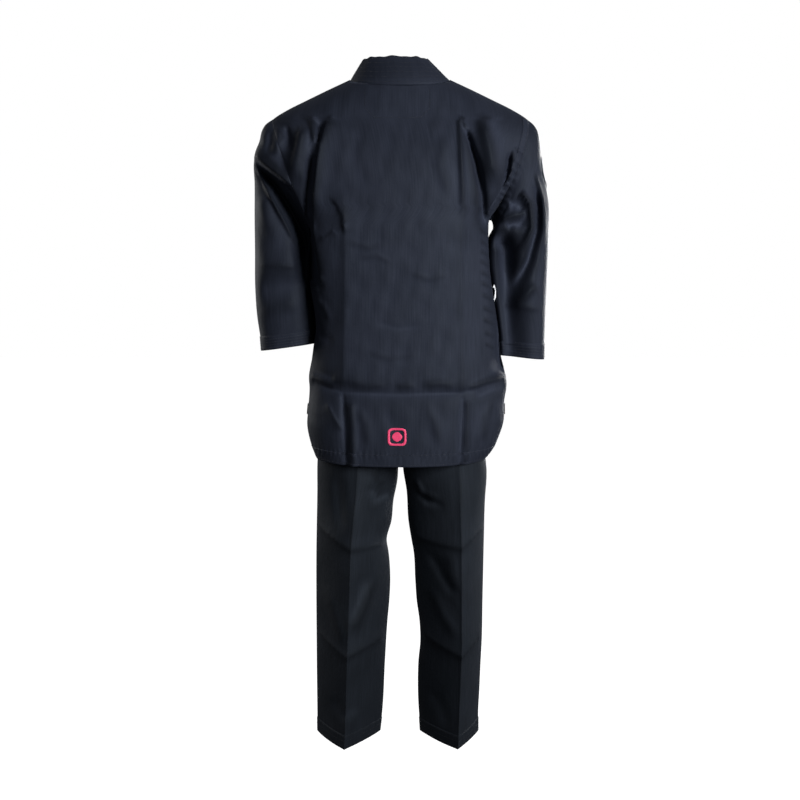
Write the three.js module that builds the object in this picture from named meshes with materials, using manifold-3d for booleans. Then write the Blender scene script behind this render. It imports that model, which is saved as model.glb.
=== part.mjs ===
// Martial arts uniform, as worn: a cross-over jacket with three-quarter sleeves over straight
// pressed trousers.
// Millimetres, +Z up. The wearer faces -Y, so the wearer's left is +X.
// The origin is the centre of the waist, at the top edge of the trouser waistband.
import * as THREE from "three";
import { mergeVertices } from "three/addons/utils/BufferGeometryUtils.js";
import Module from "manifold-3d";

// Driving dimensions
const cloth = 2; // wall of a single layer of cloth in these solids
const seamGap = 0.6; // clearance between two pieces that are sewn edge to edge
const jacketHem = -325;
const hemDepth = 26;
const underarm = 150;
const neckBase = 458;
const collarTop = 497;
const chestLine = 168; // above this the crossed fronts stay put; below it they fold open
const foldLine = 150; // each front folds open along an upright line this far from the centre
const trouserHem = -931;
const trouserHemDepth = 30;
const crotch = -308;
const seatBottom = -305;
const waistbandDepth = 38;
const cuffDepth = 32;
const lapelWidth = 44;
const armholeTop = { x: 262, z: 378 };
const armholeLow = { x: 190, z: underarm };

// Jacket body: [height, half width, half depth behind, half depth in front, sideways lean]
const jacketBody = [
  [jacketHem, 188, 130, 122, -6],
  [-250, 203, 129, 122, -10],
  [-168, 203, 124, 119, -13],
  [-65, 190, 115, 113, -12],
  [0, 188, 113, 112, -5],
  [100, 188, 119, 115, 4],
  [underarm, 195, 123, 117, 2],
  [220, 235, 125, 117, 1],
  [300, 272, 118, 107, 0],
  [352, 281, 102, 90, 0],
  [378, 262, 94, 80, 0],
  [417, 191, 85, 70, 0],
  [neckBase, 105, 75, 62, 0],
];
const bodyPower = 2.5;

// Sleeves: [height, inner reach, outer reach, centre in Y, half depth]
const sleeveShape = {
  left: [
    [-112, 189, 295, -30, 78],
    [0, 192, 305, -20, 80],
    [100, 200, 308, -12, 83],
    [underarm, 203, 308, -8, 85],
    [250, 196, 305, -2, 83],
    [320, 204, 293, 0, 70],
    [355, 220, 277, 0, 46],
    [373, 238, 254, 0, 14],
  ],
  right: [
    [-128, 213, 300, -30, 80],
    [0, 204, 305, -20, 81],
    [100, 200, 309, -12, 83],
    [underarm, 203, 310, -8, 85],
    [250, 196, 306, -2, 83],
    [320, 204, 293, 0, 70],
    [355, 220, 277, 0, 46],
    [373, 238, 254, 0, 14],
  ],
};
const cuffSlope = 0.14; // the cuff hangs lower on the outside of the arm

// Trousers: the seat is [height, half width, half depth]
const seatShape = [
  [seatBottom, 176, 106],
  [-240, 175, 107],
  [-120, 166, 104],
  [0, 152, 95],
];
const seatPower = 2.5;
// A leg is [height, inner reach, outer reach, half depth, squareness]: 1 is a diamond, 2 is an ellipse
const legShape = [
  [trouserHem, 36, 178, 99, 1.3],
  [-700, 33, 177, 102, 1.4],
  [-500, 22, 175, 103, 1.5],
  [-400, 14, 174, 99, 1.6],
  [-340, 10, 171, 92, 1.85],
  [crotch, 18, 166, 83, 2],
];

const wasm = await Module();
wasm.setup();

// A smooth curve through the rows of a table, read at one height.
function readTable(table, height) {
  const last = table.length - 1;
  const i = Math.min(
    last - 1,
    Math.max(0, table.findIndex((row) => row[0] > height) - 1),
  );
  const k = height >= table[last][0] ? last - 1 : i;
  const [low, high] = [table[k], table[k + 1]];
  const span = high[0] - low[0];
  const t = THREE.MathUtils.clamp((height - low[0]) / span, 0, 1);
  const slope = (n, column) => {
    const before = table[Math.max(0, n - 1)];
    const after = table[Math.min(last, n + 1)];
    return (after[column] - before[column]) / (after[0] - before[0]);
  };
  return low.slice(1).map((value, n) => {
    const column = n + 1;
    const a = slope(k, column) * span;
    const b = slope(k + 1, column) * span;
    const t2 = t * t;
    const t3 = t2 * t;
    return (
      (2 * t3 - 3 * t2 + 1) * value +
      (t3 - 2 * t2 + t) * a +
      (3 * t2 - 2 * t3) * high[column] +
      (t3 - t2) * b
    );
  });
}

// One closed horizontal outline: a superellipse with its own depth in front and behind.
function outline(height, centre, halfWidth, behind, inFront, power, sides, tilt = 0) {
  const points = [];
  for (let i = 0; i < sides; i += 1) {
    const angle = (2 * Math.PI * i) / sides;
    const c = Math.cos(angle);
    const s = Math.sin(angle);
    const size = (Math.abs(c) ** power + Math.abs(s) ** power) ** (-1 / power);
    const x = halfWidth * size * c;
    const y = (s > 0 ? behind : inFront) * size * s;
    points.push(new THREE.Vector3(centre.x + x, centre.y + y, height - tilt * x));
  }
  return points;
}

// A closed body through a stack of outlines, from the lowest to the highest.
function loft(rings) {
  const sides = rings[0].length;
  const positions = [];
  const face = (a, b, c) => positions.push(...a.toArray(), ...b.toArray(), ...c.toArray());
  for (let k = 0; k < rings.length - 1; k += 1) {
    for (let i = 0; i < sides; i += 1) {
      const j = (i + 1) % sides;
      face(rings[k][i], rings[k][j], rings[k + 1][j]);
      face(rings[k][i], rings[k + 1][j], rings[k + 1][i]);
    }
  }
  const middle = (ring) =>
    ring.reduce((sum, p) => sum.add(p), new THREE.Vector3()).divideScalar(sides);
  const [bottom, top] = [rings[0], rings[rings.length - 1]];
  for (let i = 0; i < sides; i += 1) {
    const j = (i + 1) % sides;
    face(middle(bottom), bottom[j], bottom[i]);
    face(middle(top), top[i], top[j]);
  }
  return new THREE.BufferGeometry().setAttribute(
    "position",
    new THREE.Float32BufferAttribute(positions, 3),
  );
}

function solidOf(geometry) {
  const bare = geometry.index ? geometry.toNonIndexed() : geometry.clone();
  bare.deleteAttribute("normal");
  bare.deleteAttribute("uv");
  const merged = mergeVertices(bare, 1e-3);
  return new wasm.Manifold(
    new wasm.Mesh({
      numProp: 3,
      vertProperties: merged.attributes.position.array,
      triVerts: new Uint32Array(merged.index.array),
    }),
  );
}

function geometryOf(solid) {
  const mesh = solid.getMesh();
  const geometry = new THREE.BufferGeometry();
  geometry.setAttribute("position", new THREE.BufferAttribute(mesh.vertProperties, 3));
  geometry.setIndex(new THREE.BufferAttribute(mesh.triVerts, 1));
  return geometry;
}

const block = (x0, x1, y0, y1, z0, z1) =>
  solidOf(
    new THREE.BoxGeometry(x1 - x0, y1 - y0, z1 - z0).translate(
      (x0 + x1) / 2,
      (y0 + y1) / 2,
      (z0 + z1) / 2,
    ),
  );

// A region drawn in X and Z, made solid from y0 to y1.
function region(points, y0, y1) {
  const shape = new THREE.Shape(points.map(([x, z]) => new THREE.Vector2(x, z)));
  return solidOf(
    new THREE.ExtrudeGeometry(shape, { depth: y1 - y0, bevelEnabled: false })
      .rotateX(Math.PI / 2)
      .translate(0, y1, 0),
  );
}

const wide = 500; // reaches past every side of the uniform
const layer = (make, outer, inner) => make(outer, false).subtract(make(inner, true));

// ---- Jacket ----

// The body of the jacket as a solid, grown or shrunk by an offset. An open one runs past both ends.
function jacketSolid(offset, open) {
  const heights = jacketBody.map((row) => row[0]);
  const ring = (height, place = height) => {
    const [halfWidth, behind, inFront, lean] = readTable(jacketBody, height);
    const centre = { x: lean, y: 0 };
    return outline(
      place,
      centre,
      halfWidth + offset,
      behind + offset,
      inFront + offset,
      bodyPower,
      24,
    );
  };
  const rings = heights.map((height) => ring(height));
  if (open) {
    rings.unshift(ring(jacketHem, jacketHem - 20));
    rings.push(ring(neckBase, neckBase + 20));
  }
  return solidOf(loft(rings));
}

// Everything on the outer side of the armhole line, above the underarm. shift moves the line outwards.
function beyondArmhole(side, shift) {
  const rise = armholeTop.z - armholeLow.z;
  const run = armholeTop.x - armholeLow.x;
  const lean = Math.atan2(run, rise);
  const half = new THREE.BoxGeometry(wide, 2 * wide, 3 * wide)
    .translate(wide / 2 + shift, 0, 0)
    .rotateY(lean)
    .translate(armholeLow.x, 0, armholeLow.z);
  if (side < 0) half.scale(-1, 1, 1);
  const solid = side < 0 ? solidOf(turnedOut(half)) : solidOf(half);
  return solid.intersect(block(-2 * wide, 2 * wide, -wide, wide, underarm, 2 * wide));
}

// Turns every face of a mirrored shape back to the outside.
function turnedOut(geometry) {
  const flat = geometry.index ? geometry.toNonIndexed() : geometry;
  const p = flat.attributes.position.array;
  for (let i = 0; i < p.length; i += 9) {
    for (let k = 0; k < 3; k += 1) {
      [p[i + 3 + k], p[i + 6 + k]] = [p[i + 6 + k], p[i + 3 + k]];
    }
  }
  return flat;
}

const armholes = [1, -1].map((side) => beyondArmhole(side, -seamGap / 2));
const withoutArms = (solid) => armholes.reduce((rest, cut) => rest.subtract(cut), solid);
const behindSeam = block(-wide, wide, seamGap / 2, wide, -wide, wide);
const above = (height) => block(-wide, wide, -wide, wide, height, wide);
const below = (height) => block(-wide, wide, -wide, wide, -2 * wide, height);

// The free edge of each front, from the neck down to the hem: [X, Z]
const outerEdge = [
  [66, neckBase + 20],
  [58, 400],
  [36, 330],
  [0, 240],
  [-62, 145],
  [-124, 62],
  [-158, 0],
  [-168, -80],
  [-170, jacketHem - 20],
];
const innerEdge = [
  [-66, neckBase + 20],
  [-58, 400],
  [-36, 330],
  [-2, 240],
  [34, 145],
  [60, 62],
  [70, 0],
  [72, -80],
  [72, jacketHem - 20],
];

function smoothEdge(points, count = 20) {
  const curve = new THREE.CatmullRomCurve3(
    points.map(([x, z]) => new THREE.Vector3(x, 0, z)),
    false,
    "centripetal",
  );
  return curve.getPoints(count).map((p) => [p.x, p.z]);
}

// The same edge moved sideways over the cloth by a distance. toward is +1 for +X.
function movedEdge(points, distance, toward) {
  return points.map(([x, z], i) => {
    const [ax, az] = points[Math.max(0, i - 1)];
    const [bx, bz] = points[Math.min(points.length - 1, i + 1)];
    const length = Math.hypot(bx - ax, bz - az);
    return [x + (toward * distance * Math.abs(bz - az)) / length,
      z + (distance * Math.abs(bx - ax)) / length];
  });
}

// All of a front on one side of its free edge: toward +1 keeps the wearer's left.
function frontRegion(edge, toward) {
  const far = toward * wide;
  return region([...edge, [far, jacketHem - 20], [far, neckBase + 20]], -wide, -seamGap / 2);
}

const outerLine = smoothEdge(outerEdge);
const innerLine = smoothEdge(innerEdge);
const outerArea = frontRegion(movedEdge(outerLine, 2, 1), 1);
const innerArea = frontRegion(movedEdge(innerLine, 2, -1), -1);
const lapelArea = (line, toward) =>
  frontRegion(line, toward).subtract(frontRegion(movedEdge(line, lapelWidth, toward), toward));
const outerLapelArea = lapelArea(outerLine, 1);
const innerLapelArea = lapelArea(innerLine, -1);

// Layers of the front, as offsets from the jacket's surface, from the outside in
const lapelLift = 0.4;
const outerLayer = layer(jacketSolid, 0, -cloth);
const outerLapelLayer = layer(jacketSolid, lapelLift + 2.2, lapelLift);
const innerLapelLayer = layer(jacketSolid, -2.6, -4.8);
const innerLayer = layer(jacketSolid, -5.2, -7.2);
const hemLayer = layer(jacketSolid, 0.6, -cloth);
const innerHemLayer = layer(jacketSolid, -4.8, -7.2);

const hemTop = jacketHem + hemDepth;
const backPanel = withoutArms(outerLayer.intersect(behindSeam)).intersect(above(hemTop));
const backHem = hemLayer.intersect(behindSeam).intersect(below(hemTop - seamGap));

const fixedChest = above(chestLine);
const lowerFront = below(chestLine - seamGap);
const between = (x0, x1) => block(x0, x1, -wide, wide, -wide, wide);
const outerFold = foldLine - seamGap / 2;
const outerFront = withoutArms(outerLayer.intersect(outerArea));
const innerFront = withoutArms(innerLayer.intersect(innerArea));
const outerLapel = outerLapelLayer.intersect(outerLapelArea);
const innerLapel = innerLapelLayer.intersect(innerLapelArea);
const lapelEnd = above(-6); // the lapels stop a little below the waist

// The collar stands round the back of the neck and falls to the lapels at its sides.
function collarSolid(offset, open) {
  const grown = (height, place, halfWidth, behind, inFront) =>
    outline(
      place,
      { x: 0, y: 0 },
      halfWidth + offset,
      behind + offset,
      inFront + offset,
      2.2,
      28,
    );
  const rings = [
    grown(0, neckBase + 0.5, 103, 74, 62),
    grown(0, (neckBase + collarTop) / 2, 85, 66, 58),
    grown(0, collarTop, 68, 57, 52),
  ];
  if (open) {
    rings.unshift(grown(0, neckBase - 20, 103, 74, 62));
    rings.push(grown(0, collarTop + 20, 68, 57, 52));
  }
  return solidOf(loft(rings));
}
const collarRing = layer(collarSolid, 0, -3.4);
// In front of the ears the collar's top edge slopes down to the lapels.
const collarSlope = solidOf(
  new THREE.BoxGeometry(2 * wide, 300, 300)
    .translate(0, -150, 150)
    .rotateX(Math.atan2(collarTop - neckBase, 58))
    .translate(0, -2, collarTop),
);
const collarOpening = block(-24, 24, -wide, -10, 400, wide);
const collarBand = collarRing.subtract(collarSlope).subtract(collarOpening);

// A band of tape over the armhole seam.
const armholeTape = (side) => {
  const tapeLayer = layer(jacketSolid, 2.4, 0.6);
  const near = side > 0 ? block(60, wide, -wide, wide, underarm + 4, wide)
    : block(-wide, -60, -wide, wide, underarm + 4, wide);
  return tapeLayer
    .intersect(beyondArmhole(side, -20))
    .subtract(beyondArmhole(side, -2))
    .intersect(near);
};

// Sleeve tubes and their cuffs.
function sleeveSolid(side, offset, open) {
  const rows = sleeveShape[side > 0 ? "left" : "right"];
  const ring = (height, place) => {
    const [inner, outer, centreY, halfDepth] = readTable(rows, height);
    const centre = { x: (side * (inner + outer)) / 2, y: centreY };
    const halfWidth = Math.max(2, (outer - inner) / 2 + offset);
    const depth = Math.max(2, halfDepth + offset);
    const drop = THREE.MathUtils.clamp((underarm - height) / 250, 0, 1);
    return outline(place, centre, halfWidth, depth, depth, 2.2, 16, side * cuffSlope * drop);
  };
  const rings = rows.map(([height]) =>
    ring(height, height + (height > 340 ? Math.min(0, offset) : 0)),
  );
  if (open) rings.unshift(ring(rows[0][0], rows[0][0] - 30));
  return solidOf(loft(rings));
}

function sleevePieces(side) {
  const rows = sleeveShape[side > 0 ? "left" : "right"];
  const end = rows[0][0];
  const make = (offset, open) => sleeveSolid(side, offset, open);
  const keep = (solid) => {
    const inboard = block(-wide, wide, -wide, wide, underarm, wide).subtract(
      beyondArmhole(side, seamGap / 2),
    );
    return solid.subtract(inboard);
  };
  const cuffZone = solidOf(
    new THREE.BoxGeometry(400, 600, 400)
      .translate(0, 0, -200)
      .rotateY(Math.atan(side * cuffSlope))
      .translate(side * 245, 0, end + cuffDepth),
  );
  const gapZone = cuffZone.translate([0, 0, seamGap]);
  const sleeve = keep(layer(make, 0, -cloth)).subtract(gapZone);
  const cuff = layer(make, 0.8, -cloth).intersect(cuffZone);
  return { sleeve, cuff };
}
const left = sleevePieces(1);
const right = sleevePieces(-1);

// Trimmings on the jacket
const neckPatchShape = [
  [-70, neckBase - 8],
  [-70, 388],
  [-46, 366],
  [46, 366],
  [70, 388],
  [70, neckBase - 8],
];
const neckPatch = layer(jacketSolid, -cloth - 0.5, -cloth - 1.9).intersect(
  region(neckPatchShape, seamGap, wide),
);

// A round plug pushed through the cloth: place is its centre and turn its heading about Z, from +Y.
const roundPatch = (radius, depth, place, turn) =>
  new THREE.CylinderGeometry(radius, radius, depth, 32).rotateZ(turn).translate(...place);
const badgeRadius = 18;
const badge = layer(jacketSolid, 1.9, 0.5).intersect(
  solidOf(roundPatch(badgeRadius, 60, [6, 130, -267], 0)),
);
const armBadgeRadius = 30;
const armBadge = layer((offset, open) => sleeveSolid(-1, offset, open), 2.3, 0.9).intersect(
  solidOf(roundPatch(armBadgeRadius, 60, [-300, -14, 272], 1.8)),
);

// A stay sewn over the top of each side slit.
const slitTop = -236;
const slitWidth = 3;
const slit = (side) => block(side < 0 ? -wide : 100, side < 0 ? -100 : wide,
  -slitWidth, slitWidth, -wide, slitTop);
const stay = (side) => {
  const x = side < 0 ? [-wide, -100] : [100, wide];
  return layer(jacketSolid, 2.3, 0.8)
    .intersect(block(x[0], x[1], 1, 17, slitTop + 2, slitTop + 24));
};

// ---- Ties ----

// Each tie is one flat tape: it leaves its anchor, goes round one loop of the bow and hangs down.
const tie = { width: 9, thick: 1.4 };
const sideTieRoute = [
  [-196, 9, 36],
  [-200, 9, 34],
  [-202, 8, 28],
  [-202.2, 7, 20],
  [-201, 5, 12],
  [-199, 0, 6],
  [-197.5, -10, 4],
  [-197.5, -24, 6],
  [-197.5, -38, 10],
  [-197.5, -54, 20],
  [-197.5, -66, 32],
  [-197.5, -80, 32],
  [-197.5, -86, 20],
  [-197.5, -76, 8],
  [-197.5, -58, 3],
  [-197.5, -48, -10],
  [-197.5, -50, -42],
  [-197.5, -54, -104],
];
const frontTieRoute = [
  [-163, -88, -8],
  [-176, -82, -10],
  [-188, -76, -12],
  [-200, -68, -15],
  [-200, -56, -21],
  [-200, -42, -26],
  [-200, -28, -22],
  [-200, -24, -10],
  [-200, -36, 0],
  [-200, -52, -6],
  [-200, -62, -26],
  [-200, -66, -60],
  [-200, -68, -96],
];

// One straight length of tape between two points, run on a little so that it joins the next.
// Its width lies along Y where it rises, and upright or against the side of the body elsewhere.
function tapeLength(from, to) {
  const a = new THREE.Vector3(...from);
  const way = new THREE.Vector3(...to).sub(a);
  const along = way.clone().normalize();
  const side = new THREE.Vector3().crossVectors(new THREE.Vector3(1, 0, 0), along);
  if (Math.abs(along.y) < 0.5) side.set(0, 1, 0);
  if (Math.abs(along.x) > 0.4 && Math.abs(along.z) < 0.4) side.set(0, 0, 1);
  const across = side.addScaledVector(along, -side.dot(along)).normalize();
  const face = new THREE.Vector3().crossVectors(along, across);
  const bar = new THREE.BoxGeometry(way.length() + tie.thick, tie.width, tie.thick)
    .applyMatrix4(new THREE.Matrix4().makeBasis(along, across, face))
    .translate(...a.addScaledVector(way, 0.5).toArray());
  return solidOf(bar);
}

const tape = (route) =>
  route.slice(1).reduce((made, point, i) => {
    const next = tapeLength(route[i], point);
    return made ? made.add(next) : next;
  }, null);

// ---- Trousers ----

function seatSolid(offset, open) {
  const ring = (height, place = height) => {
    const [halfWidth, halfDepth] = readTable(seatShape, height);
    const depth = halfDepth + offset;
    return outline(place, { x: 0, y: 0 }, halfWidth + offset, depth, depth, seatPower, 24);
  };
  const rings = seatShape.map(([height]) => ring(height));
  if (open) {
    rings.unshift(ring(seatBottom, seatBottom - 20));
    rings.push(ring(0, 20));
  }
  return solidOf(loft(rings));
}

const seatTop = -waistbandDepth - seamGap;
const seatLayer = layer(seatSolid, 0, -cloth).intersect(below(seatTop));
const seatHalf = (side) =>
  seatLayer.intersect(
    block(side > 0 ? seamGap / 2 : -wide, side > 0 ? wide : -seamGap / 2, -wide, wide, -wide, wide),
  );

const waistband = layer(seatSolid, 0.6, -3.4).intersect(
  block(-wide, wide, -wide, wide, -waistbandDepth, 0),
);

function legSolid(side, offset, open) {
  const ring = (height, place = height) => {
    const [inner, outer, halfDepth, power] = readTable(legShape, height);
    const centre = { x: (side * (inner + outer)) / 2, y: 0 };
    const halfWidth = (outer - inner) / 2 + offset;
    const depth = halfDepth + offset;
    return outline(place, centre, halfWidth, depth, depth, power, 16);
  };
  const rings = legShape.map(([height]) => ring(height));
  if (open) {
    rings.unshift(ring(trouserHem, trouserHem - 20));
    rings.push(ring(crotch, crotch + 20));
  }
  return solidOf(loft(rings));
}

function legPieces(side) {
  const make = (offset, open) => legSolid(side, offset, open);
  const whole = layer(make, 0, -cloth);
  const hemTopHeight = trouserHem + trouserHemDepth;
  const bigAbove = block(-wide, wide, -wide, wide, hemTopHeight, wide);
  const leg = whole.intersect(bigAbove);
  const hem = layer(make, 0.6, -cloth).intersect(
    block(-wide, wide, -wide, wide, trouserHem - 1, hemTopHeight - seamGap),
  );
  return { leg, hem };
}
const leftLeg = legPieces(1);
const rightLeg = legPieces(-1);

// The gusset is a strip under the crotch, from the front rise to the back rise.
const gussetProfile = new THREE.Shape()
  .moveTo(-100, -299)
  .quadraticCurveTo(0, -307, 100, -299)
  .lineTo(100, -297)
  .quadraticCurveTo(0, -305, -100, -297);
const gusset = new THREE.ExtrudeGeometry(gussetProfile, {
  depth: 26,
  curveSegments: 6,
  bevelEnabled: false,
})
  .rotateX(Math.PI / 2)
  .rotateZ(Math.PI / 2)
  .translate(-13, 0, 0);

// ---- Assembly ----

const finish = {
  cloth: new THREE.MeshStandardMaterial({ color: 0x1b1d24, roughness: 0.85, metalness: 0 }),
  tape: new THREE.MeshStandardMaterial({ color: 0xe9e9ec, roughness: 0.9, metalness: 0 }),
  thread: new THREE.MeshStandardMaterial({ color: 0xd8476f, roughness: 0.6, metalness: 0 }),
  badge: new THREE.MeshStandardMaterial({ color: 0xf1f1f1, roughness: 0.7, metalness: 0 }),
};

const uniform = new THREE.Group();
function addGeometry(name, geometry, material = finish.cloth) {
  const mesh = new THREE.Mesh(geometry, material);
  mesh.name = name;
  uniform.add(mesh);
}
const add = (name, solid, material) => addGeometry(name, geometryOf(solid), material);

add("back_panel", backPanel.subtract(slit(1)).subtract(slit(-1)));
add("back_hem", backHem.subtract(slit(1)).subtract(slit(-1)));
add("left_chest", outerFront.intersect(fixedChest));
add("right_chest", innerFront.intersect(fixedChest));
const leftSide = between(foldLine + seamGap / 2, wide);
const rightSide = between(-wide, -foldLine - seamGap / 2);
add("left_side_panel", outerFront.intersect(lowerFront).intersect(leftSide).subtract(slit(1)));
add("right_side_panel", innerFront.intersect(lowerFront).intersect(rightSide).subtract(slit(-1)));
const outerPart = between(-wide, outerFold);
const innerPart = between(-outerFold, wide);
const outerHem = hemLayer.intersect(outerArea).intersect(below(hemTop - seamGap));
const innerHem = innerHemLayer.intersect(innerArea).intersect(below(hemTop - seamGap));
add("outer_flap", outerFront.intersect(lowerFront).intersect(above(hemTop)).intersect(outerPart));
add("inner_flap", innerFront.intersect(lowerFront).intersect(above(hemTop)).intersect(innerPart));
add("outer_flap_hem", outerHem.intersect(outerPart));
add("inner_flap_hem", innerHem.intersect(innerPart));
add("collar_band", collarBand);
add("left_lapel", outerLapel.intersect(fixedChest));
add("right_lapel", innerLapel.intersect(fixedChest));
add("outer_lapel_end", outerLapel.intersect(lowerFront).intersect(lapelEnd));
add("inner_lapel_end", innerLapel.intersect(lowerFront).intersect(lapelEnd));
add("left_armhole_tape", armholeTape(1));
add("right_armhole_tape", armholeTape(-1));
add("left_sleeve", left.sleeve);
add("right_sleeve", right.sleeve);
add("left_cuff", left.cuff);
add("right_cuff", right.cuff);
add("neck_patch", neckPatch);
add("back_badge", badge, finish.thread);
add("arm_badge", armBadge, finish.badge);
add("left_slit_stay", stay(1));
add("right_slit_stay", stay(-1));
add("side_tie", tape(sideTieRoute), finish.tape);
add("front_tie", tape(frontTieRoute), finish.tape);
add("seat_left", seatHalf(1));
add("seat_right", seatHalf(-1));
add("waistband", waistband);
addGeometry("crotch_gusset", gusset);
add("left_leg", leftLeg.leg);
add("right_leg", rightLeg.leg);
add("left_leg_hem", leftLeg.hem);
add("right_leg_hem", rightLeg.hem);

export default uniform;
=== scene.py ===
import bpy
import math
import numpy as np
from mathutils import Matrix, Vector


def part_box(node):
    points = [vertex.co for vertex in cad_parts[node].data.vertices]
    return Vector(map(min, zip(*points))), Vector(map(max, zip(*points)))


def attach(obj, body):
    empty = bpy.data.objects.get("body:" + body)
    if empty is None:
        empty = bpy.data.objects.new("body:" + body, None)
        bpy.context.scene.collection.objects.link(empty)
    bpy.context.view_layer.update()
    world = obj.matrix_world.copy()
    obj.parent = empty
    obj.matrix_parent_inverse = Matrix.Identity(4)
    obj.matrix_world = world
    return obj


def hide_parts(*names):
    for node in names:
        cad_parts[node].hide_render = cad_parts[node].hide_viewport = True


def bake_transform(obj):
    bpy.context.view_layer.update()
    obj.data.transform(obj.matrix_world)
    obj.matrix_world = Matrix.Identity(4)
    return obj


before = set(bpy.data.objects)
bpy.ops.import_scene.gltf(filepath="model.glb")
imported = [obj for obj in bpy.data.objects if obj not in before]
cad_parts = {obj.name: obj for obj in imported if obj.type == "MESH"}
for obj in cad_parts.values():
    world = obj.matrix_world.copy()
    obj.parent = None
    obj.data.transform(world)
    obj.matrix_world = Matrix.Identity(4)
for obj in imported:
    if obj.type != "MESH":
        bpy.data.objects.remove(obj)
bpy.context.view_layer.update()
print("frame loaded,", len(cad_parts), "nodes")

# The wearer faces -Y and the wearer's left is +X, so the back is at +Y. All sizes are in metres.
clothThickness = 0.0009
rowStep = 0.0034
tiny = 1e-9  # keeps a division by a vanishing length finite


# ---- helpers ----

def along(pairs, at):
    # Smooth curve through (place, value) pairs: cubic pieces whose slope at each pair is the
    # slope between its two neighbours.
    pairs = np.array(sorted(pairs), float)
    place, value = pairs[:, 0], pairs[:, 1]
    slope = np.gradient(value, place)
    at = np.asarray(at, float)
    i = np.clip(np.searchsorted(place, at) - 1, 0, len(place) - 2)
    h = place[i + 1] - place[i]
    t = np.clip((at - place[i]) / h, 0, 1)
    start = (1 + 2 * t) * (1 - t) ** 2 * value[i] + t * (1 - t) ** 2 * h * slope[i]
    end = t * t * (3 - 2 * t) * value[i + 1] - t * t * (1 - t) * h * slope[i + 1]
    return start + end


def ease(t):
    # 0 below 0, 1 above 1, and 3t^2 - 2t^3 between.
    t = np.clip(t, 0, 1)
    return t * t * (3 - 2 * t)


def around(count):
    # Angles evenly round a ring, from 0, with the full turn left out.
    return np.linspace(0, math.tau, count + 1)[:-1]


def grid(rows, columns):
    # Two arrays over a grid: the value of each row, and the value of each column.
    return np.meshgrid(rows, columns, indexing="ij")


def nearest(path, x, z):
    # Signed distance from a line through points (positive on its left) and the share of its
    # length, 0 to 1, where the nearest point is.
    path = np.array(path, float)
    runs = np.diff(path, axis=0)
    lengths = np.hypot(runs[:, 0], runs[:, 1])
    before = np.concatenate([[0], np.cumsum(lengths)[:-1]])
    best = np.full(np.shape(x), 9.0)
    side = np.ones(np.shape(x))
    share = np.zeros(np.shape(x))
    for (px, pz), (rx, rz), length, done in zip(path, runs, lengths, before):
        t = np.clip(((x - px) * rx + (z - pz) * rz) / length ** 2, 0, 1)
        away = np.hypot(x - px - t * rx, z - pz - t * rz)
        closer = away < best
        cross = rx * (z - pz) - rz * (x - px)
        best = np.where(closer, away, best)
        side = np.where(closer, np.where(cross < 0, -1.0, 1.0), side)
        share = np.where(closer, (done + t * length) / lengths.sum(), share)
    return best * side, share


def relief(marks, x, z):
    # Sum of the marks. soft: h exp(-(d/w)^2). sharp: h exp(-|d|/w). step: h tanh(d/w) exp(-|d|/8w).
    # pleat: h exp(-d/w) on the left of its line and a drop five times as steep on its right.
    # A width of two numbers goes from the first to the second along the line.
    # Each fades in over the first share of its length and out over the last share.
    total = np.zeros(np.shape(x))
    for kind, height, width, fadeIn, fadeOut, path in marks:
        d, share = nearest(path, x, z)
        if isinstance(width, tuple):
            width = width[0] + (width[1] - width[0]) * share
        fade = np.ones(np.shape(x))
        if fadeIn:
            fade = fade * ease(share / fadeIn)
        if fadeOut:
            fade = fade * ease((1 - share) / fadeOut)
        if kind == "soft":
            shape = np.exp(-(d / width) ** 2)
        elif kind == "sharp":
            shape = np.exp(-np.abs(d) / width)
        elif kind == "pleat":
            shape = np.exp(-np.where(d > 0, d, -5 * d) / width)
        else:
            shape = np.tanh(d / width) * np.exp(-np.abs(d) / (8 * width))
        total += height * fade * shape
    return total


def ripple(x, z, seed, lengths, height):
    # Mean of sine waves, one for each length, in random directions and phases.
    rng = np.random.default_rng(seed)
    total = np.zeros(np.shape(x))
    for length in lengths:
        turn, phase = rng.uniform(0, math.tau, 2)
        total += np.sin((x * math.cos(turn) + z * math.sin(turn)) * math.tau / length + phase)
    return height * total / len(lengths)


def gridNormals(points, flip=False):
    # Cross product of the two grid directions at each vertex.
    n = np.cross(np.gradient(points, axis=1), np.gradient(points, axis=0))
    if flip:
        n = -n
    return n / (np.linalg.norm(n, axis=2, keepdims=True) + tiny)


def foldShade(points, closed, flip, passes=26, reach=0.0045):
    # How far each point stands above (1) or below (-1) the average of its surroundings:
    # tanh(height / reach), the average made by repeated averaging of grid neighbours. It is 0
    # within three points of an edge, where there are no surroundings on one side. The cloth materials use
    # it to paint shade into the hollows and to lighten the ridges.
    average = points.copy()
    for _ in range(passes):
        padded = np.pad(average, ((1, 1), (0, 0), (0, 0)), mode="edge")
        average = (padded[:-2] + 2 * average + padded[2:]) / 4
        padded = np.pad(average, ((0, 0), (1, 1), (0, 0)), mode="wrap" if closed else "edge")
        average = (padded[:, :-2] + 2 * average + padded[:, 2:]) / 4
    height = -np.sum((points - average) * gridNormals(points, flip), axis=2)
    inner = np.zeros(height.shape)
    inner[3:-3, :] = 1
    if not closed:
        inner[:, :3] = 0
        inner[:, -3:] = 0
    return np.tanh(height / reach) * inner


def gridFaces(rows, columns, closed, flip):
    # One quad for each cell of a grid of vertices; closed joins the last column to the first.
    index = np.arange(rows * columns).reshape(rows, columns)
    onward = np.roll(index, -1, axis=1)
    width = columns if closed else columns - 1
    a, b = index[:-1, :width], onward[:-1, :width]
    c, d = onward[1:, :width], index[1:, :width]
    order = (a, d, c, b) if flip else (a, b, c, d)
    return np.stack([part.ravel() for part in order], axis=1).tolist()


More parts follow.
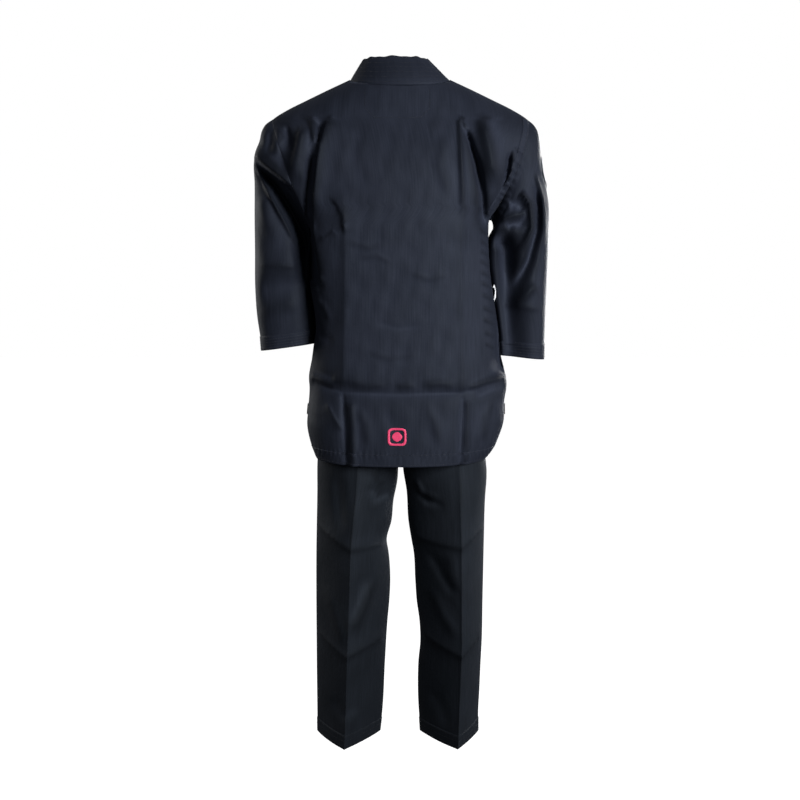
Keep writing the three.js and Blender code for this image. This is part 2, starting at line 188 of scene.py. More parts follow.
def meshPiece(name, points, faces, material, smooth):
    # A piece from a list of points and a list of faces.
    mesh = bpy.data.meshes.new(name)
    mesh.from_pydata(points.reshape(-1, 3).tolist(), [], faces)
    mesh.polygons.foreach_set("use_smooth", np.full(len(mesh.polygons), smooth))
    mesh.materials.append(material)
    mesh.update()
    piece = bpy.data.objects.new(name, mesh)
    bpy.context.scene.collection.objects.link(piece)
    return piece


def sheetUv(points):
    # Lengths along the cloth, in metres: across from the middle column, up from the lowest row.
    across = np.cumsum(np.linalg.norm(np.diff(points, axis=1, prepend=points[:, :1]), axis=2), axis=1)
    across -= across[:, across.shape[1] // 2][:, None]
    up = np.cumsum(np.linalg.norm(np.diff(points, axis=0, prepend=points[:1]), axis=2), axis=0)
    up = np.repeat(up[:, up.shape[1] // 2][:, None], points.shape[1], axis=1)
    return np.stack([across, up], axis=-1)


def gridPiece(name, points, material, closed=False, flip=False, thickness=0.0):
    # A sheet of quads over a grid of points (rows, columns, 3), with the lengths along it as its
    # UV and the fold shade as an attribute. Solidify gives it thickness on its inner side.
    piece = meshPiece(name, points, gridFaces(*points.shape[:2], closed, flip), material, True)
    mesh = piece.data
    uv = sheetUv(points)
    corner = np.zeros(len(mesh.loops), np.int32)
    mesh.loops.foreach_get("vertex_index", corner)
    layer = mesh.uv_layers.new(name="cloth")
    layer.data.foreach_set("uv", uv.reshape(-1, 2)[corner].astype(np.float32).ravel())
    shade = mesh.attributes.new("fold", "FLOAT", "POINT")
    shade.data.foreach_set("value", foldShade(points, closed, flip).astype(np.float32).ravel())
    mesh.update()
    if thickness:
        wall = piece.modifiers.new("wall", "SOLIDIFY")
        wall.thickness = thickness
        wall.offset = -1
        wall.use_even_offset = False
    return piece


def stitchPiece(name, middles, directions, normals, material, length, width):
    # One short raised bar per stitch: four rings of four corners along its direction, thinner at
    # both ends, laid on the cloth and rounded by smooth shading.
    count = len(middles)
    across = np.cross(normals, directions)
    across /= np.linalg.norm(across, axis=1, keepdims=True) + tiny
    corners = []
    for end, half in ((-1, 0.35), (-0.5, 1), (0.5, 1), (1, 0.35)):
        for side, lift in ((-1, 0.0), (0, 0.75), (1, 0.0), (0, -0.6)):
            corners.append(middles + directions * (end * length / 2)
                           + across * (side * half * width / 2)
                           + normals * (lift * half * width))
    points = np.stack(corners, axis=1).reshape(-1, 3)
    ring = np.array([[r * 4 + s, r * 4 + (s + 1) % 4, (r + 1) * 4 + (s + 1) % 4, (r + 1) * 4 + s]
                     for r in range(3) for s in range(4)] + [[3, 2, 1, 0], [12, 13, 14, 15]])
    faces = (ring[None] + 16 * np.arange(count)[:, None, None]).reshape(-1, 4)
    return meshPiece(name, points, faces.tolist(), material, True)


def spaced(line, step):
    # Points every step along a line of points, and the direction of travel at each.
    run = np.linalg.norm(np.diff(line, axis=0), axis=1)
    place = np.concatenate([[0], np.cumsum(run)])
    at = np.arange(step / 2, place[-1], step)
    points = np.stack([np.interp(at, place, line[:, k]) for k in range(3)], axis=1)
    ahead = np.stack([np.interp(at + step / 4, place, line[:, k]) for k in range(3)], axis=1)
    behind = np.stack([np.interp(at - step / 4, place, line[:, k]) for k in range(3)], axis=1)
    way = ahead - behind
    return points, way / (np.linalg.norm(way, axis=1, keepdims=True) + tiny)


# ---- materials ----

def clothMaterial(name, look):
    # Base colour = dark to light by fine upright streaks and broad patches, then by the fold attribute
    # darker in the hollows as painted shade, and lighter on the ridges, partly as wear along the creases
    # and partly as painted highlight;
    # roughness by the patches; bump from a fine twill wave and a crumpled noise, both on the UV.
    material = bpy.data.materials.new(name)
    material.use_nodes = True
    nodes, links = material.node_tree.nodes, material.node_tree.links
    shader = nodes["Principled BSDF"]
    shader.inputs["Specular IOR Level"].default_value = look["specular"]
    shader.inputs["Specular Tint"].default_value = look["specularTint"]
    shader.inputs["Sheen Weight"].default_value = look["sheen"]
    shader.inputs["Sheen Roughness"].default_value = look["sheenRough"]
    shader.inputs["Sheen Tint"].default_value = look["sheenTint"]
    place = nodes.new("ShaderNodeUVMap")
    place.uv_map = "cloth"
    streakPlace = nodes.new("ShaderNodeMapping")
    streakPlace.inputs["Scale"].default_value = (look["streaksAcross"], look["streaksUp"], 1)
    streaks = nodes.new("ShaderNodeTexNoise")
    streaks.inputs["Scale"].default_value = 1
    streaks.inputs["Detail"].default_value = 3
    patches = nodes.new("ShaderNodeTexNoise")
    patches.inputs["Scale"].default_value = look["patchScale"]
    patches.inputs["Detail"].default_value = 4
    mixed = nodes.new("ShaderNodeMix")
    mixed.data_type = "FLOAT"
    mixed.inputs["Factor"].default_value = look["patchShare"]
    tone = nodes.new("ShaderNodeMapRange")
    tone.inputs["From Min"].default_value = 0.3
    tone.inputs["From Max"].default_value = 0.7
    colour = nodes.new("ShaderNodeMix")
    colour.data_type = "RGBA"
    colour.inputs["A"].default_value = (*look["dark"], 1)
    colour.inputs["B"].default_value = (*look["light"], 1)
    fold = nodes.new("ShaderNodeAttribute")
    fold.attribute_name = "fold"
    # painted shade: the fold attribute scales the base colour down in the hollows, and up on the ridges,
    # partly as wear and partly as painted highlight
    paintedShadeAndWear = nodes.new("ShaderNodeMapRange")
    paintedShadeAndWear.inputs["From Min"].default_value = -1
    paintedShadeAndWear.inputs["To Min"].default_value = 1 - look["hollowPaintedShade"]
    paintedShadeAndWear.inputs["To Max"].default_value = 1 + look["ridgeLight"]
    shaded = nodes.new("ShaderNodeVectorMath")
    shaded.operation = "SCALE"
    rough = nodes.new("ShaderNodeMapRange")
    rough.inputs["To Min"].default_value = look["rough"] - look["roughSpread"]
    rough.inputs["To Max"].default_value = look["rough"] + look["roughSpread"]
    twillPlace = nodes.new("ShaderNodeMapping")
    twillPlace.inputs["Rotation"].default_value = (0, 0, look["twillTurn"])
    twill = nodes.new("ShaderNodeTexWave")
    twill.inputs["Scale"].default_value = look["twillScale"]
    twill.inputs["Distortion"].default_value = 1.5
    twill.inputs["Detail"].default_value = 1
    fine = nodes.new("ShaderNodeBump")
    fine.inputs["Strength"].default_value = look["twillStrength"]
    fine.inputs["Distance"].default_value = 0.0004
    crumple = nodes.new("ShaderNodeTexNoise")
    crumple.inputs["Scale"].default_value = look["crumpleScale"]
    crumple.inputs["Detail"].default_value = 3
    broad = nodes.new("ShaderNodeBump")
    broad.inputs["Strength"].default_value = look["crumpleStrength"]
    broad.inputs["Distance"].default_value = 0.004
    links.new(place.outputs["UV"], streakPlace.inputs["Vector"])
    links.new(streakPlace.outputs["Vector"], streaks.inputs["Vector"])
    links.new(place.outputs["UV"], patches.inputs["Vector"])
    links.new(streaks.outputs["Fac"], mixed.inputs["A"])
    links.new(patches.outputs["Fac"], mixed.inputs["B"])
    links.new(mixed.outputs["Result"], tone.inputs["Value"])
    links.new(tone.outputs["Result"], colour.inputs["Factor"])
    links.new(fold.outputs["Fac"], paintedShadeAndWear.inputs["Value"])
    links.new(colour.outputs["Result"], shaded.inputs["Vector"])
    links.new(paintedShadeAndWear.outputs["Result"], shaded.inputs["Scale"])
    links.new(shaded.outputs["Vector"], shader.inputs["Base Color"])
    links.new(patches.outputs["Fac"], rough.inputs["Value"])
    links.new(rough.outputs["Result"], shader.inputs["Roughness"])
    links.new(place.outputs["UV"], twillPlace.inputs["Vector"])
    links.new(twillPlace.outputs["Vector"], twill.inputs["Vector"])
    links.new(place.outputs["UV"], crumple.inputs["Vector"])
    links.new(crumple.outputs["Fac"], broad.inputs["Height"])
    links.new(twill.outputs["Fac"], fine.inputs["Height"])
    links.new(broad.outputs["Normal"], fine.inputs["Normal"])
    links.new(fine.outputs["Normal"], shader.inputs["Normal"])
    return material


def threadMaterial(name, colour, scale, rough=0.55, sheen=0.2, specular=0.3):
    # Base colour varied by a noise on object coordinates, with a bump from the same noise.
    material = bpy.data.materials.new(name)
    material.use_nodes = True
    nodes, links = material.node_tree.nodes, material.node_tree.links
    shader = nodes["Principled BSDF"]
    shader.inputs["Specular IOR Level"].default_value = specular
    shader.inputs["Sheen Weight"].default_value = sheen
    place = nodes.new("ShaderNodeTexCoord")
    grain = nodes.new("ShaderNodeTexNoise")
    grain.inputs["Scale"].default_value = scale
    grain.inputs["Detail"].default_value = 3
    mix = nodes.new("ShaderNodeMix")
    mix.data_type = "RGBA"
    mix.inputs["A"].default_value = (*[c * 0.8 for c in colour], 1)
    mix.inputs["B"].default_value = (*[min(1, c * 1.15) for c in colour], 1)
    roughness = nodes.new("ShaderNodeMapRange")
    roughness.inputs["To Min"].default_value = rough - 0.1
    roughness.inputs["To Max"].default_value = rough + 0.1
    bump = nodes.new("ShaderNodeBump")
    bump.inputs["Strength"].default_value = 0.3
    bump.inputs["Distance"].default_value = 0.0003
    links.new(place.outputs["Object"], grain.inputs["Vector"])
    links.new(grain.outputs["Fac"], mix.inputs["Factor"])
    links.new(mix.outputs["Result"], shader.inputs["Base Color"])
    links.new(grain.outputs["Fac"], roughness.inputs["Value"])
    links.new(roughness.outputs["Result"], shader.inputs["Roughness"])
    links.new(grain.outputs["Fac"], bump.inputs["Height"])
    links.new(bump.outputs["Normal"], shader.inputs["Normal"])
    return material


jacketLook = {
    "dark": (0.0120, 0.0148, 0.0235), "light": (0.0220, 0.0258, 0.0400),
    # how much the fold attribute darkens the hollows (painted shade) and lightens the ridges (partly wear,
    # partly painted highlight)
    "hollowPaintedShade": 0.70, "ridgeLight": 0.45,
    "specular": 0.11, "specularTint": (0.75, 0.86, 1, 1), "rough": 0.64, "roughSpread": 0.05,
    "sheen": 0.03, "sheenRough": 0.5, "sheenTint": (0.6, 0.7, 1, 1),
    "streaksAcross": 420, "streaksUp": 14, "patchScale": 9, "patchShare": 0.35,
    "twillTurn": 0.35, "twillScale": 260, "twillStrength": 0.08,
    "crumpleScale": 60, "crumpleStrength": 0.16,
}
trouserLook = dict(jacketLook, dark=(0.0105, 0.0130, 0.0170), light=(0.0200, 0.0245, 0.0330),
                   specular=0.12, rough=0.70, sheen=0.02, crumpleStrength=0.20)
jacketCloth = clothMaterial("jacketCloth", jacketLook)
trouserCloth = clothMaterial("trouserCloth", trouserLook)
darkThread = threadMaterial("darkThread", (0.017, 0.0195, 0.029), 900, sheen=0.05, specular=0.15)
trouserThread = threadMaterial("trouserThread", (0.014, 0.017, 0.022), 900, sheen=0.05, specular=0.15)
pinkThread = threadMaterial("pinkThread", (0.78, 0.055, 0.16), 1400, rough=0.45, sheen=0.3)
whiteTape = threadMaterial("whiteTape", (0.80, 0.81, 0.84), 1200, rough=0.8)
badgeCloth = threadMaterial("badgeCloth", (0.82, 0.83, 0.86), 1000, rough=0.7)
print("materials made")


# ---- jacket shape ----

torso = {
    "power": 2.5,
    "leftHalf": [(-0.330, 0.176), (-0.317, 0.182), (-0.290, 0.191), (-0.255, 0.1965),
                 (-0.231, 0.195), (-0.174, 0.191), (-0.157, 0.192), (-0.114, 0.185),
                 (-0.085, 0.181), (-0.059, 0.177), (-0.021, 0.179), (0.012, 0.184),
                 (0.060, 0.191), (0.110, 0.190), (0.150, 0.1875), (0.185, 0.207),
                 (0.220, 0.228), (0.260, 0.251), (0.300, 0.271), (0.352, 0.283), (0.378, 0.262),
                 (0.397, 0.232), (0.417, 0.191), (0.437, 0.149), (0.458, 0.103)],
    "rightHalf": [(-0.330, 0.180), (-0.315, 0.194), (-0.280, 0.211), (-0.252, 0.219),
                  (-0.208, 0.220), (-0.169, 0.225), (-0.108, 0.212), (-0.051, 0.206),
                  (0.006, 0.197), (0.050, 0.190), (0.110, 0.185), (0.150, 0.184),
                  (0.172, 0.186), (0.200, 0.206), (0.240, 0.233), (0.270, 0.253), (0.300, 0.270),
                  (0.352, 0.283), (0.378, 0.262), (0.397, 0.232), (0.417, 0.191),
                  (0.437, 0.149), (0.458, 0.103)],
    "behind": [(-0.330, 0.130), (-0.250, 0.129), (-0.168, 0.124), (-0.065, 0.115),
               (0.000, 0.113), (0.100, 0.119), (0.150, 0.123), (0.220, 0.125),
               (0.300, 0.118), (0.352, 0.102), (0.378, 0.094), (0.417, 0.085),
               (0.458, 0.075)],
    "infront": [(-0.330, 0.122), (-0.250, 0.122), (-0.168, 0.119), (-0.065, 0.113),
                (0.000, 0.112), (0.100, 0.115), (0.150, 0.117), (0.220, 0.117),
                (0.300, 0.107), (0.352, 0.090), (0.378, 0.080), (0.417, 0.070),
                (0.458, 0.062)],
    "hem": -0.327,
    "neck": 0.458,
    "neckDrop": 0.30, "dropFrom": 0.30, "dropOver": 0.158,
    "foldsFullAt": 0.045,
}
# The armhole is a slanting line seen from behind, from (x, z) low to (x, z) high, bowed outwards.
armhole = {1: ((0.1875, 0.150), (0.262, 0.378)), -1: ((0.186, 0.172), (0.262, 0.378))}
armholeBow = {1: 0.002, -1: 0.018}

# Folds of the back, both sleeves included: (kind, height, width, fade in, fade out, line of (x, z)).
backMarks = [
    # pressed upright creases
    ("sharp", 0.0130, 0.042, 0.3, 0.05, [(0.122, 0.260), (0.111, 0.180), (0.111, 0.006), (0.116, -0.175)]),
    ("sharp", -0.0080, 0.007, 0.1, 0, [(0.116, -0.178), (0.112, -0.250), (0.109, -0.330)]),
    ("soft", 0.0065, 0.008, 0.1, 0, [(0.101, -0.195), (0.096, -0.250), (0.095, -0.330)]),
    ("sharp", 0.0060, 0.028, 0.2, 0, [(-0.122, 0.204), (-0.123, 0.006), (-0.126, -0.170)]),
    ("sharp", -0.0050, 0.006, 0.1, 0, [(-0.126, -0.180), (-0.121, -0.330)]),
    ("soft", 0.0040, 0.007, 0.1, 0, [(-0.138, -0.190), (-0.134, -0.330)]),
    # pressed crease across the skirt, and the slack just above it
    ("sharp", -0.0075, 0.011, 0.03, 0.03, [(0.186, -0.158), (0.116, -0.180), (0.001, -0.183),
                                           (-0.126, -0.180), (-0.220, -0.158)]),
    ("soft", 0.0035, 0.009, 0.3, 0.3, [(0.105, -0.163), (0.060, -0.168), (0.022, -0.165)]),
    ("soft", 0.0030, 0.007, 0.3, 0.3, [(0.010, -0.168), (-0.030, -0.163)]),
    ("soft", 0.0040, 0.010, 0.3, 0.3, [(-0.040, -0.165), (-0.080, -0.160), (-0.115, -0.167)]),
    ("soft", 0.0050, 0.007, 0.2, 0.2, [(0.192, -0.148), (0.155, -0.160), (0.124, -0.171)]),
    ("soft", -0.0040, 0.008, 0.2, 0.2, [(0.190, -0.132), (0.150, -0.146), (0.128, -0.152)]),
    ("soft", 0.0060, 0.008, 0.2, 0.2, [(-0.134, -0.174), (-0.175, -0.160), (-0.222, -0.148)]),
    ("soft", -0.0050, 0.008, 0.2, 0.2, [(-0.150, -0.190), (-0.185, -0.178), (-0.220, -0.172)]),
    ("pleat", 0.0050, 0.012, 0.2, 0.3, [(0.150, -0.200), (0.132, -0.232), (0.112, -0.262)]),
    ("soft", 0.0030, 0.010, 0.3, 0.3, [(0.088, -0.205), (0.070, -0.240), (0.066, -0.290)]),
    ("soft", -0.0030, 0.012, 0.4, 0.4, [(0.030, -0.200), (0.018, -0.250), (0.000, -0.290)]),
    ("soft", 0.0030, 0.010, 0.4, 0.4, [(-0.052, -0.196), (-0.070, -0.240), (-0.086, -0.300)]),
    ("soft", 0.0045, 0.010, 0.3, 0.3, [(-0.196, -0.190), (-0.178, -0.230), (-0.172, -0.290)]),
    # folds under the wearer's left shoulder blade: two ridges that meet in a V and run on as one
    ("pleat", 0.0150, (0.008, 0.018), 0.25, 0.1, [(0.178, 0.090), (0.176, 0.138), (0.172, 0.208),
                                                  (0.164, 0.277), (0.158, 0.316), (0.149, 0.348),
                                                  (0.133, 0.378)]),
    ("soft", 0.0110, (0.006, 0.007), 0.3, 0.3, [(0.177, 0.376), (0.174, 0.350), (0.166, 0.312)]),
    ("soft", -0.0110, (0.013, 0.004), 0.3, 0.1, [(0.156, 0.368), (0.160, 0.340), (0.162, 0.314)]),
    ("soft", -0.0200, (0.004, 0.014), 0.2, 0.3, [(0.174, 0.312), (0.180, 0.262), (0.186, 0.205),
                                                 (0.187, 0.130)]),
    ("soft", 0.0170, (0.010, 0.020), 0.2, 0.4, [(0.190, 0.360), (0.200, 0.315), (0.210, 0.270),
                                                (0.206, 0.225)]),
    ("soft", -0.0100, (0.006, 0.009), 0.3, 0.4, [(0.230, 0.362), (0.224, 0.330), (0.220, 0.296)]),
    ("soft", 0.0085, (0.006, 0.012), 0.3, 0.3, [(0.246, 0.360), (0.244, 0.325), (0.252, 0.288)]),
    ("soft", -0.0060, (0.006, 0.010), 0.3, 0.3, [(0.262, 0.350), (0.263, 0.320), (0.270, 0.296)]),
    ("soft", -0.0080, 0.014, 0.3, 0.3, [(0.184, 0.220), (0.174, 0.150), (0.168, 0.080)]),
    ("pleat", 0.0065, 0.012, 0.2, 0.3, [(0.108, 0.130), (0.114, 0.172), (0.124, 0.194), (0.144, 0.214)]),
    ("pleat", 0.0040, 0.009, 0.2, 0.3, [(0.163, 0.136), (0.151, 0.130), (0.134, 0.142), (0.120, 0.130)]),
    ("soft", 0.0060, 0.006, 0.1, 0.3, [(0.195, 0.066), (0.175, 0.054), (0.150, 0.046)]),
    ("soft", -0.0060, 0.008, 0.1, 0.3, [(0.195, 0.050), (0.175, 0.038), (0.150, 0.030)]),
    ("soft", 0.0035, 0.007, 0.2, 0.3, [(0.176, 0.010), (0.156, -0.006), (0.140, -0.040)]),
    ("soft", -0.0035, 0.008, 0.2, 0.3, [(0.176, -0.040), (0.160, -0.070), (0.130, -0.078)]),
    ("soft", 0.0016, 0.006, 0.2, 0.3, [(0.104, 0.122), (0.060, 0.110), (0.020, 0.118)]),
    ("soft", 0.0014, 0.005, 0.2, 0.3, [(0.080, 0.088), (0.045, 0.094), (0.012, 0.078)]),
    ("soft", 0.0014, 0.006, 0.2, 0.3, [(-0.020, 0.060), (-0.060, 0.048), (-0.104, 0.060)]),
    ("soft", -0.0014, 0.006, 0.2, 0.3, [(0.050, -0.040), (0.000, -0.052), (-0.060, -0.044)]),
    ("soft", 0.0014, 0.006, 0.2, 0.3, [(0.070, -0.096), (0.020, -0.110), (-0.050, -0.104)]),
    ("soft", 0.0030, 0.012, 0.2, 0.3, [(-0.086, 0.340), (-0.080, 0.270), (-0.100, 0.200)]),
    ("soft", -0.0030, 0.014, 0.2, 0.3, [(0.086, 0.350), (0.090, 0.280), (0.080, 0.220)]),
    # deep fold under the wearer's right shoulder blade: a thin ridge, a dart and a full bulge
    ("soft", 0.0080, (0.0035, 0.008), 0.06, 0.6, [(-0.118, 0.373), (-0.118, 0.350), (-0.121, 0.280),
                                                  (-0.126, 0.190), (-0.130, 0.120)]),
    ("soft", 0.0060, (0.0030, 0.005), 0.1, 0.4, [(-0.120, 0.373), (-0.139, 0.325), (-0.160, 0.275)]),
    ("soft", -0.0260, (0.0035, 0.009), 0.12, 0.2, [(-0.128, 0.352), (-0.140, 0.320), (-0.154, 0.272),
                                                   (-0.166, 0.217), (-0.173, 0.140)]),
    ("soft", 0.0230, (0.014, 0.020), 0.3, 0.3, [(-0.160, 0.385), (-0.170, 0.330), (-0.182, 0.280),
                                                (-0.190, 0.220)]),
    ("soft", 0.0080, (0.004, 0.008), 0.15, 0.4, [(-0.2265, 0.308), (-0.226, 0.270), (-0.214, 0.225)]),
    ("soft", -0.0150, (0.0035, 0.008), 0.15, 0.3, [(-0.222, 0.304), (-0.215, 0.254), (-0.200, 0.205),
                                                   (-0.190, 0.170)]),
    # puckers across the armhole band of the wearer's right sleeve
    *[("soft", 0.0042, 0.0030, 0.25, 0.25, [(-0.178 - reach, 0.180 + rise), (-0.206 - reach, 0.168 + rise)])
      for reach, rise in ((0.000, 0.000), (0.006, 0.012), (0.012, 0.024), (0.018, 0.038), (0.022, 0.048),
                          (0.028, 0.064), (0.034, 0.078), (0.039, 0.092), (0.043, 0.110), (0.048, 0.130))],
    # puckers down the wearer's right side seam
    *[("soft", 0.0048, 0.0040, 0.3, 0.3, [(-0.158 - shift, height), (-0.192 - shift, height - 0.016)])
      for shift, height in ((0, 0.150), (0, 0.128), (0, 0.108), (0, 0.088), (0.002, 0.066),
                            (0.003, 0.044), (0.005, 0.020), (0.007, -0.006), (0.008, -0.030),
                            (0.010, -0.056), (0.012, -0.080))],
    # the upper layer of the wearer's left sleeve hangs over the lower one
    ("step", 0.0250, 0.003, 0, 0.08, [(0.174, 0.110), (0.1786, 0.138), (0.197, 0.175),
                                      (0.220, 0.231), (0.261, 0.263), (0.291, 0.288), (0.320, 0.306)]),
    ("soft", -0.0600, (0.017, 0.009), 0.1, 0.2, [(0.184, 0.030), (0.192, 0.090), (0.206, 0.145),
                                                 (0.230, 0.195), (0.260, 0.243), (0.300, 0.284)]),
    ("soft", 0.0150, (0.0045, 0.008), 0.1, 0.4, [(0.300, 0.286), (0.284, 0.260), (0.252, 0.198),
                                                 (0.224, 0.148), (0.199, 0.097), (0.190, 0.050)]),
    ("soft", 0.0080, 0.018, 0.2, 0.4, [(0.292, 0.220), (0.270, 0.165), (0.244, 0.110)]),
    ("sharp", 0.0040, 0.005, 0, 0, [(0.330, 0.078), (0.250, 0.075), (0.180, 0.072)]),
    ("soft", 0.0100, 0.045, 0, 0, [(0.330, 0.075), (0.180, 0.070)]),
    ("soft", -0.0080, 0.022, 0.2, 0.2, [(0.300, 0.025), (0.190, 0.045)]),
    ("soft", 0.0060, 0.016, 0.3, 0.3, [(0.300, -0.020), (0.200, 0.000)]),
    # gathers of the wearer's right sleeve
    ("soft", 0.0170, (0.004, 0.007), 0.1, 0.4, [(-0.238, 0.214), (-0.250, 0.219), (-0.264, 0.200),
                                                (-0.269, 0.152), (-0.258, 0.125), (-0.238, 0.098)]),
    ("soft", -0.0130, 0.008, 0.2, 0.2, [(-0.222, 0.198), (-0.240, 0.202), (-0.254, 0.188)]),
    ("soft", 0.0080, 0.006, 0.15, 0.2, [(-0.204, 0.168), (-0.234, 0.178), (-0.258, 0.181)]),
    ("soft", -0.0120, 0.008, 0.2, 0.2, [(-0.216, 0.154), (-0.236, 0.162), (-0.256, 0.158)]),
    ("soft", -0.0260, (0.005, 0.012), 0.15, 0.3, [(-0.274, 0.240), (-0.286, 0.200), (-0.284, 0.150),
                                                  (-0.268, 0.090), (-0.246, 0.040), (-0.232, 0.000)]),
    ("soft", 0.0090, (0.004, 0.008), 0.15, 0.3, [(-0.272, 0.270), (-0.293, 0.215), (-0.300, 0.150),
                                                 (-0.290, 0.100)]),
    ("soft", -0.0480, (0.014, 0.034), 0.1, 0.1, [(-0.206, 0.150), (-0.220, 0.110), (-0.222, 0.050),
                                                 (-0.222, -0.060), (-0.225, -0.160)]),
    ("soft", 0.0080, 0.010, 0.2, 0.3, [(-0.286, 0.040), (-0.262, 0.020), (-0.232, -0.010)]),
    ("sharp", 0.0050, 0.005, 0, 0, [(-0.225, -0.004), (-0.300, -0.016), (-0.330, -0.020)]),
    ("soft", 0.0080, 0.050, 0, 0, [(-0.225, 0.010), (-0.330, 0.000)]),
]
frontMarks = [
    ("sharp", 0.0040, 0.030, 0.2, 0, [(0.118, 0.220), (0.120, -0.165)]),
    ("sharp", 0.0040, 0.030, 0.2, 0, [(-0.118, 0.220), (-0.120, -0.165)]),
    ("sharp", -0.0040, 0.012, 0.05, 0.05, [(0.200, -0.170), (0.0, -0.183), (-0.200, -0.170)]),
    ("soft", 0.0060, 0.014, 0.3, 0.3, [(0.180, 0.350), (0.190, 0.260), (0.180, 0.180)]),
    ("soft", -0.0060, 0.012, 0.3, 0.3, [(0.160, 0.340), (0.165, 0.260), (0.160, 0.190)]),
    ("soft", 0.0060, 0.014, 0.3, 0.3, [(-0.180, 0.350), (-0.190, 0.260), (-0.180, 0.180)]),
    ("soft", -0.0060, 0.012, 0.3, 0.3, [(-0.160, 0.340), (-0.165, 0.260), (-0.160, 0.190)]),
    ("soft", -0.0100, 0.018, 0.2, 0.4, [(0.210, 0.060), (0.225, 0.150), (0.280, 0.240)]),
    ("soft", -0.0100, 0.018, 0.2, 0.4, [(-0.215, 0.060), (-0.230, 0.150), (-0.280, 0.240)]),
    ("sharp", 0.0030, 0.006, 0, 0, [(0.330, 0.078), (0.180, 0.072)]),
    ("sharp", 0.0030, 0.006, 0, 0, [(-0.200, -0.006), (-0.330, -0.020)]),
    ("soft", 0.0050, 0.020, 0.3, 0.3, [(0.080, 0.120), (-0.020, 0.020), (-0.110, -0.060)]),
    ("soft", -0.0040, 0.016, 0.3, 0.3, [(0.100, 0.080), (0.010, -0.030), (-0.080, -0.110)]),
]


def halfWidth(z, side):
    # From the middle to the side line at each height; side is 1 on the wearer's left, -1 right.
    return along(torso["leftHalf" if side > 0 else "rightHalf"], z)


def armholeLine(level, side):
    # Point at a level from 0 (underarm) to 1 (shoulder): the straight line plus 4 bow t (1 - t).
    (lowX, lowZ), (highX, highZ) = armhole[side]
    bow = 4 * armholeBow[side] * level * (1 - level)
    return lowX + (highX - lowX) * level + bow, lowZ + (highZ - lowZ) * level


def armholeX(z, side):
    # The armhole line, and the full half width below it.
    lowZ, highZ = armhole[side][0][1], armhole[side][1][1]
    line = armholeLine((z - lowZ) / (highZ - lowZ), side)[0]
    inside = (z > lowZ) & (z < highZ)
    return np.where(inside, np.minimum(line, halfWidth(z, side)), halfWidth(z, side))


def torsoY(x, z, behind):
    # Superellipse: y = depth (1 - (|x| / half width)^power)^(1 / power), negative in front. The
    # half width is that of the point's own side.
    side = np.where(x >= 0, 1, -1)
    half = np.where(side > 0, halfWidth(z, 1), halfWidth(z, -1))
    depth = along(torso["behind"], z) if behind else along(torso["infront"], z)
    inside = np.clip(1 - np.clip(np.abs(x) / half, 0, 1) ** torso["power"], 0, 1)
    y = depth * inside ** (1 / torso["power"])
    return y if behind else -y


def dress(x, y, z, lift=0.0):
    # Near the neck a point first sinks by up to neckDrop |y|. Then folds push it along Y by the
    # relief of its side of the body and broad and small ripples, in full from foldsFullAt off the
    # side line, plus fine waves along the hem; lift is a further layer outwards along Y.
    z = z - torso["neckDrop"] * np.abs(y) * ease((z - torso["dropFrom"]) / torso["dropOver"])
    strength = ease(np.abs(y) / torso["foldsFullAt"])
    nearHem = np.exp(-((z + 0.304) / 0.009) ** 2)
    behind = relief(backMarks, x, z) + ripple(x, z, 3, (0.11, 0.16, 0.09, 0.21, 0.07), 0.0013)
    behind = behind + 0.0011 * np.sin(x * 640 + 3 * np.sin(x * 41)) * nearHem
    behind = behind + ripple(x, z, 5, (0.047, 0.036, 0.058, 0.041, 0.031), 0.0009)
    infront = relief(frontMarks, x, z) + ripple(x, z, 8, (0.12, 0.17, 0.09, 0.2), 0.0025)
    push = np.where(y >= 0, behind, -infront)
    outward = np.where(y >= 0, lift, -lift)
    return np.stack([x, y + strength * push + outward, z], axis=-1)


def rowHeights(low, high, step=rowStep):
    # Evenly spaced heights from low to high, about a step apart.
    return np.linspace(low, high, int(round((high - low) / step)) + 1)


def torsoSheet(z, angleFrom, angleTo, columns, behind, inset=None):
    # x = half width sin(angle), the angle running between two values at each height; inset is
    # how far this layer lies inside the outermost one, as a function of x and z.
    share = np.linspace(0, 1, columns)[None, :]
    angle = angleFrom[:, None] + (angleTo - angleFrom)[:, None] * share
    heights = np.repeat(z[:, None], columns, axis=1)
    half = np.where(angle >= 0, halfWidth(heights, 1), halfWidth(heights, -1))
    x = half * np.sin(angle)
    y = torsoY(x, heights, behind)
    if inset is not None:
        y = y + (-inset(x, heights) if behind else inset(x, heights))
    return x, y, heights


def sideAngle(z, side):
    # The angle at which the sheet meets the side seam or the armhole.
    return side * np.arcsin(np.clip(armholeX(z, side) / halfWidth(z, side), -1, 1))


def lowEdge(x, z):
    # Below z = -0.2 the cloth dips by 2 mm cos(8x) and rises by 4 mm (x / 0.19)^4 at its sides.
    below = ease((-0.2 - z) / 0.12)
    return z - 0.002 * below * np.cos(x * 8) + 0.004 * below * (x / 0.19) ** 4


sheetColumns = {"back": 165, "front": 110, "backHem": 150}
rows = rowHeights(torso["hem"], torso["neck"])
x, y, z = torsoSheet(rows, sideAngle(rows, -1), sideAngle(rows, 1), sheetColumns["back"], True)
backPoints = dress(x, y, lowEdge(x, z))
jacketBack = gridPiece("jacketBack", backPoints, jacketCloth, flip=True,
                       thickness=clothThickness)
print("jacket back made")

